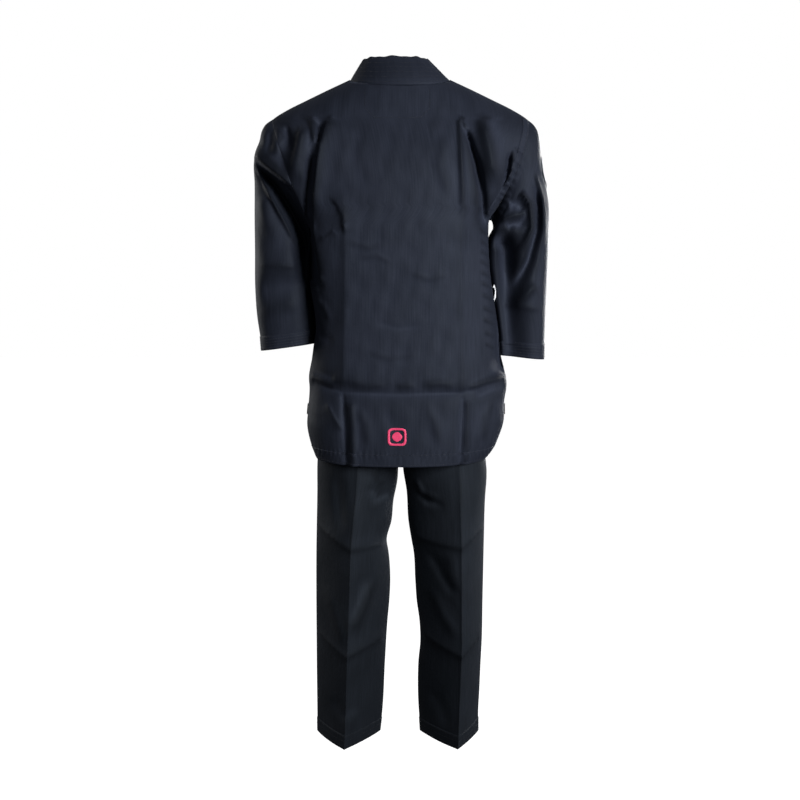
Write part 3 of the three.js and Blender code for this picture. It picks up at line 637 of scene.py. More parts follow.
# Free edge of each front, from the neck to the hem, seen from the front: (z, x).
frontEdge = {
    "outer": [(0.478, 0.066), (0.400, 0.058), (0.330, 0.036), (0.240, 0.000), (0.145, -0.062),
              (0.062, -0.124), (0.000, -0.158), (-0.080, -0.168), (-0.345, -0.170)],
    "inner": [(0.478, -0.066), (0.400, -0.058), (0.330, -0.036), (0.240, -0.002), (0.145, 0.034),
              (0.062, 0.060), (0.000, 0.070), (-0.080, 0.072), (-0.345, 0.072)],
}
frontLayer = {"innerInset": 0.0055, "insetOver": 0.05, "lapelWidth": 0.044, "lapelLift": 0.0016,
              "lapelThickness": 0.0022, "lapelPastEdge": 0.03, "lapelWithin": 0.9,
              "lapelColumns": 15}


def innerInset(x, z):
    # 0 at the wearer's right side seam, the full inset from insetOver towards the middle.
    return frontLayer["innerInset"] * ease((x + halfWidth(z, -1)) / frontLayer["insetOver"])


def frontAngles(z, which):
    # The angles of the free edge, arcsin(edge / half width), and of the side seam or armhole.
    edge = along(frontEdge[which], z)
    half = np.where(edge >= 0, halfWidth(z, 1), halfWidth(z, -1))
    free = np.arcsin(np.clip(edge / half, -0.999, 0.999))
    side = sideAngle(z, 1 if which == "outer" else -1)
    return free, side


fronts = {}
for which in ("outer", "inner"):
    free, side = frontAngles(rows, which)
    x, y, z = torsoSheet(rows, free, side, sheetColumns["front"], False,
                         innerInset if which == "inner" else None)
    fronts[which] = gridPiece(which + "Front", dress(x, y, z), jacketCloth,
                              flip=which == "inner", thickness=clothThickness)
print("jacket fronts made")


def lapel(which, name):
    # A band of even width square to the front edge: at each height it runs from the edge by the
    # width times sqrt(1 + slope^2), lying a little above the front.
    z = rowHeights(torso["hem"] + 0.001, torso["neck"] + 0.004)
    edge = along(frontEdge[which], z)
    slant = np.sqrt(1 + np.gradient(edge, z) ** 2)
    turn = 1 if which == "outer" else -1
    share = np.linspace(-frontLayer["lapelPastEdge"], 1, frontLayer["lapelColumns"])[None, :]
    x = edge[:, None] + turn * share * frontLayer["lapelWidth"] * slant[:, None]
    heights = np.repeat(z[:, None], frontLayer["lapelColumns"], axis=1)
    widest = frontLayer["lapelWithin"] * halfWidth(heights, turn)
    x = np.clip(x, -widest, widest)
    y = torsoY(x, heights, False)
    lift = frontLayer["lapelLift"] - (frontLayer["innerInset"] if which == "inner" else 0)
    return gridPiece(name, dress(x, y, heights, lift), jacketCloth, flip=turn < 0,
                     thickness=frontLayer["lapelThickness"])


outerLapel = lapel("outer", "outerLapel")
innerLapel = lapel("inner", "innerLapel")
print("lapels made")


# ---- collar ----

collar = {
    "lowHeight": 0.4565, "topHeight": 0.497, "topDrop": 0.004,
    "halfLow": 0.1025, "halfHigh": 0.0670, "lean": 0.0090, "behindLow": 0.0800, "behindHigh": 0.0600,
    "infrontLow": 0.0660, "infrontHigh": 0.0560, "reach": 2.35, "power": 2.2,
    "thickness": 0.0030, "stitchRows": 6,
}


def collarPoint(angle, up):
    # Ring round the neck: x = half sin^q, y = depth cos^q with q = 2 / power, both shrinking from
    # the lower edge to the upper one; the lower edge drops by neckDrop |y|, as the jacket does.
    q = 2 / collar["power"]
    half = collar["halfLow"] + (collar["halfHigh"] - collar["halfLow"]) * up
    behind = collar["behindLow"] + (collar["behindHigh"] - collar["behindLow"]) * up
    infront = collar["infrontLow"] + (collar["infrontHigh"] - collar["infrontLow"]) * up
    x = half * np.sign(np.sin(angle)) * np.abs(np.sin(angle)) ** q
    c = np.sign(np.cos(angle)) * np.abs(np.cos(angle)) ** q
    y = np.where(c >= 0, behind, infront) * c
    low = collar["lowHeight"] - torso["neckDrop"] * np.abs(y)
    wave = 0.0009 * np.sin(angle * 9 + 1) + 0.0006 * np.sin(angle * 17)
    z = low + (collar["topHeight"] - collar["topDrop"] * np.abs(c) - low) * up + wave * up
    bow = 0.0025 * np.sin(math.pi * up) + 0.0005 * np.sin(angle * 83 + 5 * up) * np.sin(up * 19)
    return np.stack([x + collar["lean"] * up, y + bow * np.sign(y), z], axis=-1)


up, angle = grid(np.linspace(0, 1, 14), np.linspace(-collar["reach"], collar["reach"], 150))
collarBand = gridPiece("collarBand", collarPoint(angle, up), jacketCloth, flip=True,
                       thickness=collar["thickness"])
print("collar made")


# ---- sleeves ----

sleeve = {
    1: {
        "outer": [(0.00, 0.262, 0.378), (0.06, 0.277, 0.367), (0.11, 0.285, 0.353),
                  (0.16, 0.290, 0.333), (0.21, 0.299, 0.312), (0.26, 0.304, 0.290),
                  (0.34, 0.304, 0.250), (0.48, 0.306, 0.180), (0.62, 0.307, 0.110),
                  (0.76, 0.3085, 0.040), (0.89, 0.3055, -0.025), (1.00, 0.2995, -0.072)],
        "inner": [(0.00, 0.1875, 0.150), (0.12, 0.1862, 0.143), (0.25, 0.1860, 0.120),
                  (0.40, 0.1885, 0.085), (0.55, 0.1880, 0.050), (0.70, 0.1830, 0.015),
                  (0.85, 0.1780, -0.022), (1.00, 0.1755, -0.053)],
        "cuffOuter": (0.2975, -0.102), "cuffInner": (0.1745, -0.0845), "body": "left_arm",
    },
    -1: {
        "outer": [(0.00, 0.262, 0.378), (0.06, 0.276, 0.366), (0.11, 0.284, 0.352),
                  (0.16, 0.288, 0.332), (0.22, 0.292, 0.302), (0.28, 0.298, 0.272),
                  (0.34, 0.305, 0.245), (0.42, 0.3125, 0.205), (0.55, 0.3135, 0.140),
                  (0.70, 0.3125, 0.060), (0.85, 0.3105, -0.020), (1.00, 0.3090, -0.086)],
        "inner": [(0.00, 0.186, 0.172), (0.08, 0.1920, 0.169), (0.16, 0.1945, 0.153),
                  (0.24, 0.1860, 0.136), (0.42, 0.1810, 0.085), (0.58, 0.1890, 0.035),
                  (0.75, 0.1985, -0.020), (0.90, 0.2040, -0.060), (1.00, 0.2060, -0.080)],
        "cuffOuter": (0.3085, -0.120), "cuffInner": (0.2080, -0.110), "body": "right_arm",
    },
    "centre": [(0.0, 0.0), (0.15, -0.012), (0.3, -0.025), (0.6, -0.042), (1.0, -0.052), (1.2, -0.053)],
    "half": [(0.0, 0.074), (0.15, 0.075), (0.3, 0.079), (0.6, 0.081), (1.0, 0.078), (1.2, 0.078)],
    "power": 2.7, "blendOver": 0.34, "sheetTo": 1.04, "rings": 112, "round": 144,
}
cuff = {"from": 1.0, "to": 1.2, "rings": 10, "lift": 0.0012, "thickness": 0.0022}


def sleevePoint(side, v, angle, out=0.0):
    # Ring at share v of the way from the armhole (0) to the cuff (1, and 1.2 at its edge): a
    # superellipse between the outer and inner lines, which over the first blendOver of the
    # way grows out of the body's own surface at the armhole, so that the two meet.
    shape = sleeve[side]
    end = np.clip((v - cuff["from"]) / (cuff["to"] - cuff["from"]), 0, 1)
    ox = along([p[:2] for p in shape["outer"]], v)
    oz = along([(p[0], p[2]) for p in shape["outer"]], v)
    ix = along([p[:2] for p in shape["inner"]], v)
    iz = along([(p[0], p[2]) for p in shape["inner"]], v)
    ox = ox + (shape["cuffOuter"][0] - ox) * end
    oz = oz + (shape["cuffOuter"][1] - oz) * end
    ix = ix + (shape["cuffInner"][0] - ix) * end
    iz = iz + (shape["cuffInner"][1] - iz) * end
    q = 2 / sleeve["power"]
    level = (1 + np.cos(angle)) / 2
    rounded = (1 + np.sign(np.cos(angle)) * np.abs(np.cos(angle)) ** q) / 2
    grown = ease(v / sleeve["blendOver"])
    share = level + (rounded - level) * grown
    sx = ix + (ox - ix) * share
    sz = iz + (oz - iz) * share
    turn = np.sign(np.sin(angle)) * np.abs(np.sin(angle)) ** q
    free = along(sleeve["centre"], v) + (along(sleeve["half"], v) + out) * turn
    edgeX, edgeZ = armholeLine(level, side)
    edgeX = side * np.minimum(edgeX, halfWidth(edgeZ, side))
    behind = torsoY(edgeX, edgeZ, True)
    infront = torsoY(edgeX, edgeZ, False)
    seam = np.where(np.sin(angle) >= 0, behind, infront)
    return side * (sx + out * (share * 2 - 1)), seam + (free - seam) * grown, sz


sleeves, cuffs = {}, {}
for side, sleeveName, cuffName in ((1, "leftSleeve", "leftCuff"), (-1, "rightSleeve", "rightCuff")):
    v, angle = grid(np.linspace(0, sleeve["sheetTo"], sleeve["rings"]), around(sleeve["round"]))
    sleeves[side] = gridPiece(sleeveName, dress(*sleevePoint(side, v, angle)), jacketCloth,
                              closed=True, flip=side > 0, thickness=clothThickness)
    v, angle = grid(np.linspace(cuff["from"], cuff["to"], cuff["rings"]), around(sleeve["round"]))
    cuffs[side] = gridPiece(cuffName, dress(*sleevePoint(side, v, angle, cuff["lift"])), jacketCloth,
                            closed=True, flip=side > 0, thickness=cuff["thickness"])
print("sleeves and cuffs made")


# ---- hems, armhole tapes, patches ----

hem = {"depth": 0.026, "rowStep": 0.0022, "lift": 0.0009, "thickness": 0.0018, "pucker": 0.0007,
       "stitchesAt": (0.004, 0.0245)}
armholeTape = {"width": 0.015, "from": 0.02, "to": 0.985, "points": 90, "thickness": 0.0014,
               "lift": {1: -0.0022, -1: 0.0009}, "ripple": 0.0006}
# Height of the patch's corner on each side of the neck, and x at its foot and above the corner.
neckCut = {"low": 0.381, "high": 0.456, "lift": -0.0018, "thickness": 0.0009, "columns": 30,
           1: (0.407, 0.051, 0.070), -1: (0.404, -0.041, -0.059)}


def strip(name, x, y, z, lift, thickness, flip=True):
    # A flat band of jacket cloth laid on the body's surface at a lift.
    return gridPiece(name, dress(x, y, z, lift), jacketCloth, flip=flip, thickness=thickness)


hemRows = rowHeights(torso["hem"], torso["hem"] + hem["depth"], hem["rowStep"])
x, y, z = torsoSheet(hemRows, sideAngle(hemRows, -1), sideAngle(hemRows, 1), sheetColumns["backHem"], True)
# fine uneven waves across, highest midway up the hem
pucker = hem["pucker"] * np.sin(x * 900 + np.sin(x * 130) * 2)
pucker = pucker * np.sin(math.pi * (z - z.min()) / hem["depth"])
backHem = strip("backHem", x, y + pucker, lowEdge(x, z), hem["lift"], hem["thickness"])

frontHems = {}
for which in ("outer", "inner"):
    free, side = frontAngles(hemRows, which)
    x, y, z = torsoSheet(hemRows, free, side, sheetColumns["front"], False,
                         innerInset if which == "inner" else None)
    frontHems[which] = strip(which + "FrontHem", x, y, z, hem["lift"], hem["thickness"],
                             flip=which == "inner")

tapes = {}
for side, name in ((1, "leftArmholeTape"), (-1, "rightArmholeTape")):
    # A band on the body side of the armhole, up behind from underarm to shoulder and down in
    # front, with small ripples: sin(140 level) sin(pi across / width).
    upward = np.linspace(armholeTape["from"], armholeTape["to"], armholeTape["points"])
    level = np.concatenate([upward, upward[::-1]])
    isBack = np.arange(len(level)) < len(upward)
    (lowX, lowZ), (highX, highZ) = armhole[side]
    across = np.linspace(0.0, armholeTape["width"], 5)[:, None]
    xLine, zLine = armholeLine(level, side)
    run = np.hypot(highX - lowX, highZ - lowZ)
    xs = xLine[None, :] - across * (highZ - lowZ) / run
    zs = zLine[None, :] + across * (highX - lowX) / run
    xs = np.maximum(np.minimum(xs, halfWidth(zs, side)), 0.05) * side
    ys = np.where(isBack[None, :], torsoY(xs, zs, True), torsoY(xs, zs, False))
    ripples = (armholeTape["ripple"] * np.sin(level * 140)[None, :]
               * np.sin(math.pi * across / armholeTape["width"]))
    ys = ys + np.where(ys >= 0, ripples, -ripples)
    tapes[side] = strip(name, xs, ys, zs, armholeTape["lift"][side], armholeTape["thickness"],
                        flip=side > 0)
print("hems and tapes made")

neckRows = rowHeights(neckCut["low"], neckCut["high"])
leftEdge, rightEdge = (np.interp(neckRows, [neckCut["low"], neckCut[side][0]], neckCut[side][1:])
                       for side in (1, -1))
share = np.linspace(0, 1, neckCut["columns"])[None, :]
x = rightEdge[:, None] + (leftEdge - rightEdge)[:, None] * share
z = np.repeat(neckRows[:, None], neckCut["columns"], axis=1)
neckPatch = strip("neckPatch", x, torsoY(x, z, True), z, neckCut["lift"], neckCut["thickness"])
print("neck patch made")


# ---- trousers ----

leg = {
    1: {
        "outer": [(-0.931, 0.1805), (-0.751, 0.181), (-0.530, 0.180), (-0.400, 0.177),
                  (-0.334, 0.176), (-0.290, 0.172)],
        "inner": [(-0.931, 0.0435), (-0.886, 0.0385), (-0.774, 0.0325), (-0.684, 0.027),
                  (-0.640, 0.023), (-0.596, 0.021), (-0.530, 0.025), (-0.508, 0.0285),
                  (-0.464, 0.018), (-0.421, 0.014), (-0.377, 0.0055), (-0.330, 0.0035),
                  (-0.290, 0.0035)],
        "crease": [(-0.931, 0.117), (-0.707, 0.109), (-0.575, 0.104), (-0.489, 0.100),
                   (-0.397, 0.091), (-0.290, 0.083)],
    },
    -1: {
        "outer": [(-0.931, 0.171), (-0.886, 0.171), (-0.841, 0.173), (-0.774, 0.1755),
                  (-0.729, 0.1775), (-0.640, 0.1785), (-0.530, 0.180), (-0.421, 0.182),
                  (-0.356, 0.185), (-0.290, 0.176)],
        "inner": [(-0.931, 0.044), (-0.841, 0.039), (-0.774, 0.040), (-0.729, 0.044),
                  (-0.684, 0.042), (-0.640, 0.036), (-0.596, 0.033), (-0.530, 0.029),
                  (-0.508, 0.025), (-0.464, 0.018), (-0.399, 0.014), (-0.356, 0.007),
                  (-0.290, 0.004)],
        "crease": [(-0.931, 0.121), (-0.707, 0.128), (-0.489, 0.126), (-0.331, 0.123),
                   (-0.290, 0.120)],
    },
    "half": [(-0.931, 0.099), (-0.700, 0.102), (-0.500, 0.103), (-0.400, 0.099),
             (-0.340, 0.094), (-0.290, 0.092)],
    "power": [(-0.931, 1.14), (-0.700, 1.22), (-0.500, 1.30), (-0.400, 1.45), (-0.340, 1.70),
              (-0.290, 2.0)],
    "low": -0.931, "high": -0.292, "rowStep": 0.0045, "round": 160,
    "hemDepth": 0.030, "hemRowStep": 0.003, "hemLift": 0.0009, "hemThickness": 0.0018,
    "foldsFullAt": 0.03,
}
legMarks = [
    # pressed lines across each leg
    *[("sharp", height, width, 0, 0, line)
      for line in ([(0.190, -0.462), (0.104, -0.503), (0.020, -0.511)],
                   [(0.190, -0.696), (0.112, -0.732), (0.020, -0.710)],
                   [(-0.190, -0.468), (-0.127, -0.501), (-0.030, -0.492)],
                   [(-0.190, -0.698), (-0.131, -0.730), (-0.030, -0.702)])
      for height, width in ((0.0080, 0.018), (0.0022, 0.004))],
    # pressed line down the back and front of each leg
    ("sharp", 0.0030, 0.0040, 0, 0, [(0.083, -0.290), (0.091, -0.397), (0.100, -0.489), (0.104, -0.575),
                                     (0.109, -0.707), (0.117, -0.940)]),
    ("sharp", 0.0030, 0.0040, 0, 0, [(-0.120, -0.290), (-0.126, -0.489), (-0.128, -0.707),
                                     (-0.121, -0.940)]),
    # smaller creases
    ("soft", 0.0070, 0.006, 0.2, 0.3, [(-0.030, -0.365), (-0.047, -0.398), (-0.086, -0.401)]),
    ("soft", -0.0070, 0.008, 0.2, 0.3, [(-0.036, -0.393), (-0.060, -0.414), (-0.095, -0.416)]),
    ("soft", -0.0090, 0.010, 0.2, 0.3, [(0.018, -0.398), (0.052, -0.408), (0.062, -0.372)]),
    ("soft", 0.0050, 0.009, 0.2, 0.3, [(0.030, -0.378), (0.046, -0.360), (0.050, -0.335)]),
    ("soft", 0.0065, 0.012, 0.3, 0.3, [(0.040, -0.560), (0.070, -0.630), (0.106, -0.700)]),
    ("soft", -0.0065, 0.012, 0.3, 0.3, [(0.068, -0.560), (0.090, -0.620), (0.104, -0.665)]),
    ("soft", 0.0055, 0.012, 0.3, 0.3, [(0.160, -0.590), (0.136, -0.660), (0.112, -0.720)]),
    ("soft", -0.0060, 0.010, 0.3, 0.3, [(-0.060, -0.515), (-0.090, -0.570), (-0.118, -0.610)]),
    ("soft", 0.0055, 0.012, 0.3, 0.3, [(-0.060, -0.590), (-0.090, -0.655), (-0.125, -0.700)]),
    ("soft", 0.0045, 0.012, 0.3, 0.3, [(-0.100, -0.505), (-0.108, -0.560), (-0.122, -0.600)]),
    ("soft", -0.0050, 0.014, 0.3, 0.3, [(0.150, -0.830), (0.120, -0.860), (0.080, -0.850)]),
    ("soft", -0.0040, 0.014, 0.3, 0.3, [(-0.060, -0.820), (-0.090, -0.860), (-0.100, -0.900)]),
    ("soft", -0.0060, 0.012, 0.3, 0.3, [(0.130, -0.340), (0.126, -0.420), (0.120, -0.480)]),
]


def legPoint(side, z, angle, out=0.0):
    # Four quarter curves about the pressed creases: x = crease + reach cos^q, reach being the
    # distance to the outer or inner line, and y = half depth sin^q with q = 2 / power, so that a
    # power near 1 gives a sharp crease. The leg's folds push it outwards along Y.
    shape = leg[side]
    outer, inner, crease = (along(shape[k], z) for k in ("outer", "inner", "crease"))
    q = 2 / along(leg["power"], z)
    c, s = np.cos(angle), np.sin(angle)
    reach = np.where(c >= 0, outer - crease + out, crease - inner + out)
    sx = crease + np.sign(c) * reach * np.abs(c) ** q
    y = (along(leg["half"], z) + out) * np.sign(s) * np.abs(s) ** q
    x = side * sx
    strength = ease(np.abs(y) / leg["foldsFullAt"])
    push = relief(legMarks, x, z) + ripple(x, z, 21, (0.1, 0.14, 0.08, 0.19), 0.0028)
    return np.stack([x, y + np.where(y >= 0, push, -push) * strength, z], axis=-1)


legs, legHems = {}, {}
for side, name in ((1, "left"), (-1, "right")):
    heights = rowHeights(leg["low"] + 0.0005, leg["high"], leg["rowStep"])
    z, angle = grid(heights, around(leg["round"]))
    legs[side] = gridPiece(name + "Leg", legPoint(side, z, angle), trouserCloth, closed=True,
                           flip=side < 0, thickness=clothThickness)
    heights = rowHeights(leg["low"], leg["low"] + leg["hemDepth"], leg["hemRowStep"])
    z, angle = grid(heights, around(leg["round"]))
    legHems[side] = gridPiece(name + "LegHem", legPoint(side, z, angle, leg["hemLift"]), trouserCloth,
                              closed=True, flip=side < 0, thickness=leg["hemThickness"])
print("trouser legs made")

seat = {"half": [(-0.305, 0.172), (-0.240, 0.172), (-0.120, 0.163), (-0.038, 0.153), (0.0, 0.148)],
        "depth": [(-0.305, 0.0945), (-0.270, 0.1000), (-0.220, 0.1030), (-0.120, 0.101), (-0.038, 0.095),
                  (0.0, 0.092)],
        "power": 2.5, "low": -0.304, "high": -0.030, "rowStep": 0.006, "columns": 80,
        "bandDepth": 0.038, "bandRowStep": 0.003, "bandRound": 240, "bandLift": 0.0012,
        "bandThickness": 0.0025, "gathers": 0.0007}


def seatPoint(z, angle, out=0.0, gathers=0.0):
    # Ring x = half sin^q, y = depth cos^q with q = 2 / power, and gathers as 60 fine waves.
    q = 2 / seat["power"]
    s, c = np.sin(angle), np.cos(angle)
    wave = gathers * np.sin(angle * 60)
    x = (along(seat["half"], z) + out + wave) * np.sign(s) * np.abs(s) ** q
    y = (along(seat["depth"], z) + out + wave) * np.sign(c) * np.abs(c) ** q
    return np.stack([x, y + ripple(x, z, 31, (0.09, 0.13), 0.0015), z], axis=-1)


seats = {}
for side, name in ((1, "seatLeft"), (-1, "seatRight")):
    first = 0 if side > 0 else math.pi
    z, angle = grid(rowHeights(seat["low"], seat["high"], seat["rowStep"]),
                    np.linspace(first, first + math.pi, seat["columns"]))
    seats[side] = gridPiece(name, seatPoint(z, angle), trouserCloth, flip=True,
                            thickness=clothThickness)
z, angle = grid(rowHeights(-seat["bandDepth"], 0.0, seat["bandRowStep"]), around(seat["bandRound"]))
points = seatPoint(z, angle, seat["bandLift"], seat["gathers"])
waistband = gridPiece("trouserWaistband", points, trouserCloth, closed=True, flip=True,
                      thickness=seat["bandThickness"])
print("seat and waistband made")

# ---- what each piece moves with ----

# The back pieces, cuffs, leg hems, seats and waistband go under the body they move with; the fronts,
# lapels, front hems, sleeves and legs are baked in place. Each front's bend line below runs from the middle
# of its own side to its free edge, nearly level.
outerBend = {"start": (0.0813, 0, 0.0166), "end": (-0.1568, 0, -0.0320)}
innerBend = {"start": (-0.0813, 0, 0.0166), "end": (0.1568, 0, -0.0320)}
for piece, node in ((jacketBack, "back_panel"), (backHem, "back_hem"),
                    (collarBand, "collar_band"), (neckPatch, "neck_patch"),
                    (tapes[1], "left_armhole_tape"), (tapes[-1], "right_armhole_tape")):
    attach(piece, "jacket")
    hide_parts(node)
for piece, body, bend, nodes in (
        (fronts["outer"], "outer_front", outerBend, ("left_chest", "left_side_panel", "outer_flap")),
        (fronts["inner"], "inner_front", innerBend, ("right_chest", "right_side_panel", "inner_flap")),
        (frontHems["outer"], "outer_front", outerBend, ("outer_flap_hem",)),
        (frontHems["inner"], "inner_front", innerBend, ("inner_flap_hem",)),
        (outerLapel, "outer_front", outerBend, ("left_lapel", "outer_lapel_end")),
        (innerLapel, "inner_front", innerBend, ("right_lapel", "inner_lapel_end"))):
    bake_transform(piece)
    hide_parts(*nodes)
for side, prefix in ((1, "left"), (-1, "right")):
    (lowX, lowZ), (highX, highZ) = armhole[side]
    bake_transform(sleeves[side])
    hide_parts(prefix + "_sleeve")
    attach(cuffs[side], sleeve[side]["body"])
    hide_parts(prefix + "_cuff")
    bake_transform(legs[side])
    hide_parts(prefix + "_leg")
    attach(legHems[side], prefix + "_trouser_leg")
    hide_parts(prefix + "_leg_hem")
    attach(seats[side], "trousers")
    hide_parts("seat_" + prefix)
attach(waistband, "trousers")
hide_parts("waistband")
print("cloth joined to its bodies")


# ---- badges, stays, gusset ----

badge = {"centre": (0.006, -0.2675), "half": (0.0185, 0.0175), "rings": 9, "round": 96,
         "ringInside": 0.78, "ringPower": 5, "middleTo": 0.56, "middlePower": 1.6,
         "lift": 0.0004, "dome": 0.0009, "satin": 0.00008, "thickness": 0.0006}


def backShape(name, inside, outside, power):
    # A shape whose rim is |x|^power + |z|^power = 1, between two shares of its size; its section
    # is domed by sin(pi t), or by 1 - t^4 where it has no hole, with fine satin ridges.
    share, angle = grid(np.linspace(inside, outside, badge["rings"]), around(badge["round"]))
    rim = (np.abs(np.cos(angle)) ** power + np.abs(np.sin(angle)) ** power) ** (-1 / power)
    across = (share - inside) / (outside - inside)
    x = badge["centre"][0] + badge["half"][0] * share * rim * np.cos(angle)
    z = badge["centre"][1] + badge["half"][1] * share * rim * np.sin(angle)
    dome = np.sin(math.pi * np.clip(across, 0, 1)) if inside > 0.01 else 1 - across ** 4
    satin = badge["satin"] * np.sin((x + z) * 9000)
    points = dress(x, torsoY(x, z, True) + badge["lift"] + dome * badge["dome"] + satin, z)
    return gridPiece(name, points, pinkThread, closed=True, flip=True,
                     thickness=badge["thickness"])


badgeRing = backShape("badgeRing", badge["ringInside"], 1.0, badge["ringPower"])
badgeMiddle = backShape("badgeMiddle", 0.001, badge["middleTo"], badge["middlePower"])
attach(badgeRing, "jacket")
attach(badgeMiddle, "jacket")
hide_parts("back_badge")

# round badge on the outer side of the wearer's right sleeve: a disc in metres turned into the
# sleeve's share along (its length) and angle round (its depth), with a raised rim
roundBadge = {"v": 0.285, "radius": 0.030, "lift": 0.0016, "rimFrom": 0.9, "rimLift": 0.0008,
              "sleeveLength": 0.455, "sleeveDepth": 0.080, "thickness": 0.0012}
share, turn = grid(np.linspace(0.01, 1, 12), around(72))
v = roundBadge["v"] + roundBadge["radius"] * share * np.cos(turn) / roundBadge["sleeveLength"]
angle = roundBadge["radius"] * share * np.sin(turn) / roundBadge["sleeveDepth"]
rim = np.where(share > roundBadge["rimFrom"], roundBadge["rimLift"], 0.0)
points = dress(*sleevePoint(-1, v, angle % math.tau, roundBadge["lift"] + rim))
armBadge = gridPiece("armBadge", points, badgeCloth, closed=True, flip=False,
                     thickness=roundBadge["thickness"])
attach(armBadge, "right_arm")
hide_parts("arm_badge")

# stays: short tabs across the top of each side slit, on the back's own superellipse
stay = {"low": -0.234, "high": -0.212, "from": 0.001, "to": 0.017, "lift": 0.0008,
        "thickness": 0.0012}
for side, name in ((1, "left"), (-1, "right")):
    z, y = grid(np.linspace(stay["low"], stay["high"], 9), np.linspace(stay["from"], stay["to"], 7))
    inward = (1 - (y / along(torso["behind"], z)) ** torso["power"]) ** (1 / torso["power"])
    x = halfWidth(z, side) * inward + stay["lift"]
    piece = gridPiece(name + "SlitStay", dress(side * x, y, z), jacketCloth, flip=side > 0,
                      thickness=stay["thickness"])
    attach(piece, "jacket")
    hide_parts(name + "_slit_stay")

# gusset: a strip arched under the crotch within its own box, z = low + rise (y / reach)^power
gussetCut = {"half": 0.0122, "reach": 0.97, "inset": 0.003, "power": 2.5, "thickness": 0.002}
gussetLow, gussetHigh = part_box("crotch_gusset")
y, x = grid(np.linspace(gussetLow[1], gussetHigh[1], 40) * gussetCut["reach"],
            np.linspace(-gussetCut["half"], gussetCut["half"], 9))
rise = gussetHigh[2] - gussetLow[2] - 2 * gussetCut["inset"]
z = gussetLow[2] + gussetCut["inset"] + rise * (np.abs(y) / gussetHigh[1]) ** gussetCut["power"]
gusset = gridPiece("crotchGusset", np.stack([x, y, z], axis=-1), trouserCloth,
                   thickness=gussetCut["thickness"])
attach(gusset, "trousers")
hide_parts("crotch_gusset")
print("badges, stays and gusset made")


# ---- stitching ----

stitch = {"step": 0.0036, "collarStep": 0.0042, "share": 0.72, "width": 0.0007,
          "armholeAt": (0.0025, 0.0125), "cuffFrom": 1.02, "cuffTo": 1.17, "cuffRows": 5,
          "legHemAt": (0.006, 0.017, 0.027), "neckAt": (0.448, 0.406, 0.3815),
          # how far each row lies above the surface it is sewn through
          "hemLift": 0.0011, "neckLift": 0.0003, "cuffLift": 0.0014}


def stitchRows(name, lines, material, step=stitch["step"]):
    # Evenly spaced stitches along every line; each line comes with its outward normals.
    middles, ways, normals = [], [], []
    for line, outward in lines:
        at, way = spaced(line, step)
        place = np.linspace(0, 1, len(line))
        share = np.linspace(0, 1, len(at))
        n = np.stack([np.interp(share, place, outward[:, k]) for k in range(3)], axis=1)
        n -= way * np.sum(n * way, axis=1, keepdims=True)
        middles.append(at)
        ways.append(way)
        normals.append(n / (np.linalg.norm(n, axis=1, keepdims=True) + tiny))
    return stitchPiece(name, np.concatenate(middles), np.concatenate(ways), np.concatenate(normals),
                       material, length=step * stitch["share"], width=stitch["width"])


def ringLine(line, centre):
    # A line with its normals: outward, level, away from a centre line.
    away = line - centre
    away[:, 2] = 0
    return line, away / (np.linalg.norm(away, axis=1, keepdims=True) + tiny)


def bodyLine(x, z, lift):
    # A line on the back of the body at a lift, with its normals.
    return ringLine(dress(x, torsoY(x, z, True), z, lift), np.zeros(3))


lines = []
for height in hem["stitchesAt"]:
    z = np.full(400, torso["hem"] + height)
    angle = np.linspace(-1.54, 1.54, 400)
    x = np.where(angle > 0, halfWidth(z, 1), halfWidth(z, -1)) * np.sin(angle)
    line = dress(x, torsoY(x, z, True), lowEdge(x, z), stitch["hemLift"])
    lines.append(ringLine(line, np.zeros(3)))
# round the neck patch: down each side to its corner and in to its foot, then along the foot
top, corner, foot = stitch["neckAt"]
for side in (1, -1):
    _, footX, sideX = neckCut[side]
    z = np.concatenate([np.linspace(top, corner, 20), np.linspace(corner, foot, 20)])
    x = np.interp(z, [foot, corner, top], [footX, sideX, sideX])
    lines.append(bodyLine(x, z, stitch["neckLift"]))
x = np.linspace(neckCut[-1][1], neckCut[1][1], 60)
lines.append(bodyLine(x, np.full(60, foot), stitch["neckLift"]))
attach(stitchRows("backStitches", lines, darkThread), "jacket")

lines = []
for share in np.linspace(0.10, 0.92, collar["stitchRows"]):
    line = collarPoint(np.linspace(-2.2, 2.2, 300), np.full(300, share))
    lines.append(ringLine(line, np.zeros(3)))
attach(stitchRows("collarStitches", lines, darkThread, stitch["collarStep"]), "jacket")

lines = []
(lowX, lowZ), (highX, highZ) = armhole[-1]
run = np.hypot(highX - lowX, highZ - lowZ)
for across in stitch["armholeAt"]:
    x, z = armholeLine(np.linspace(0.03, 0.98, 150), -1)
    z = z + across * (highX - lowX) / run
    x = -np.minimum(x - across * (highZ - lowZ) / run, halfWidth(z, -1))
    lines.append(bodyLine(x, z, stitch["hemLift"]))
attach(stitchRows("armholeStitches", lines, darkThread), "jacket")

for side, name in ((1, "left"), (-1, "right")):
    lines = []
    for share in np.linspace(stitch["cuffFrom"], stitch["cuffTo"], stitch["cuffRows"]):
        angle = np.linspace(0, math.tau, 300)
        line = dress(*sleevePoint(side, np.full(300, share), angle, stitch["cuffLift"]))
        lines.append(ringLine(line, line.mean(axis=0)))
    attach(stitchRows(name + "CuffStitches", lines, darkThread), sleeve[side]["body"])
    lines = []
    for height in stitch["legHemAt"]:
        angle = np.linspace(0, math.tau, 400)
        line = legPoint(side, np.full(400, leg["low"] + height), angle, stitch["hemLift"])
        lines.append(ringLine(line, line.mean(axis=0)))
    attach(stitchRows(name + "LegStitches", lines, trouserThread), name + "_trouser_leg")

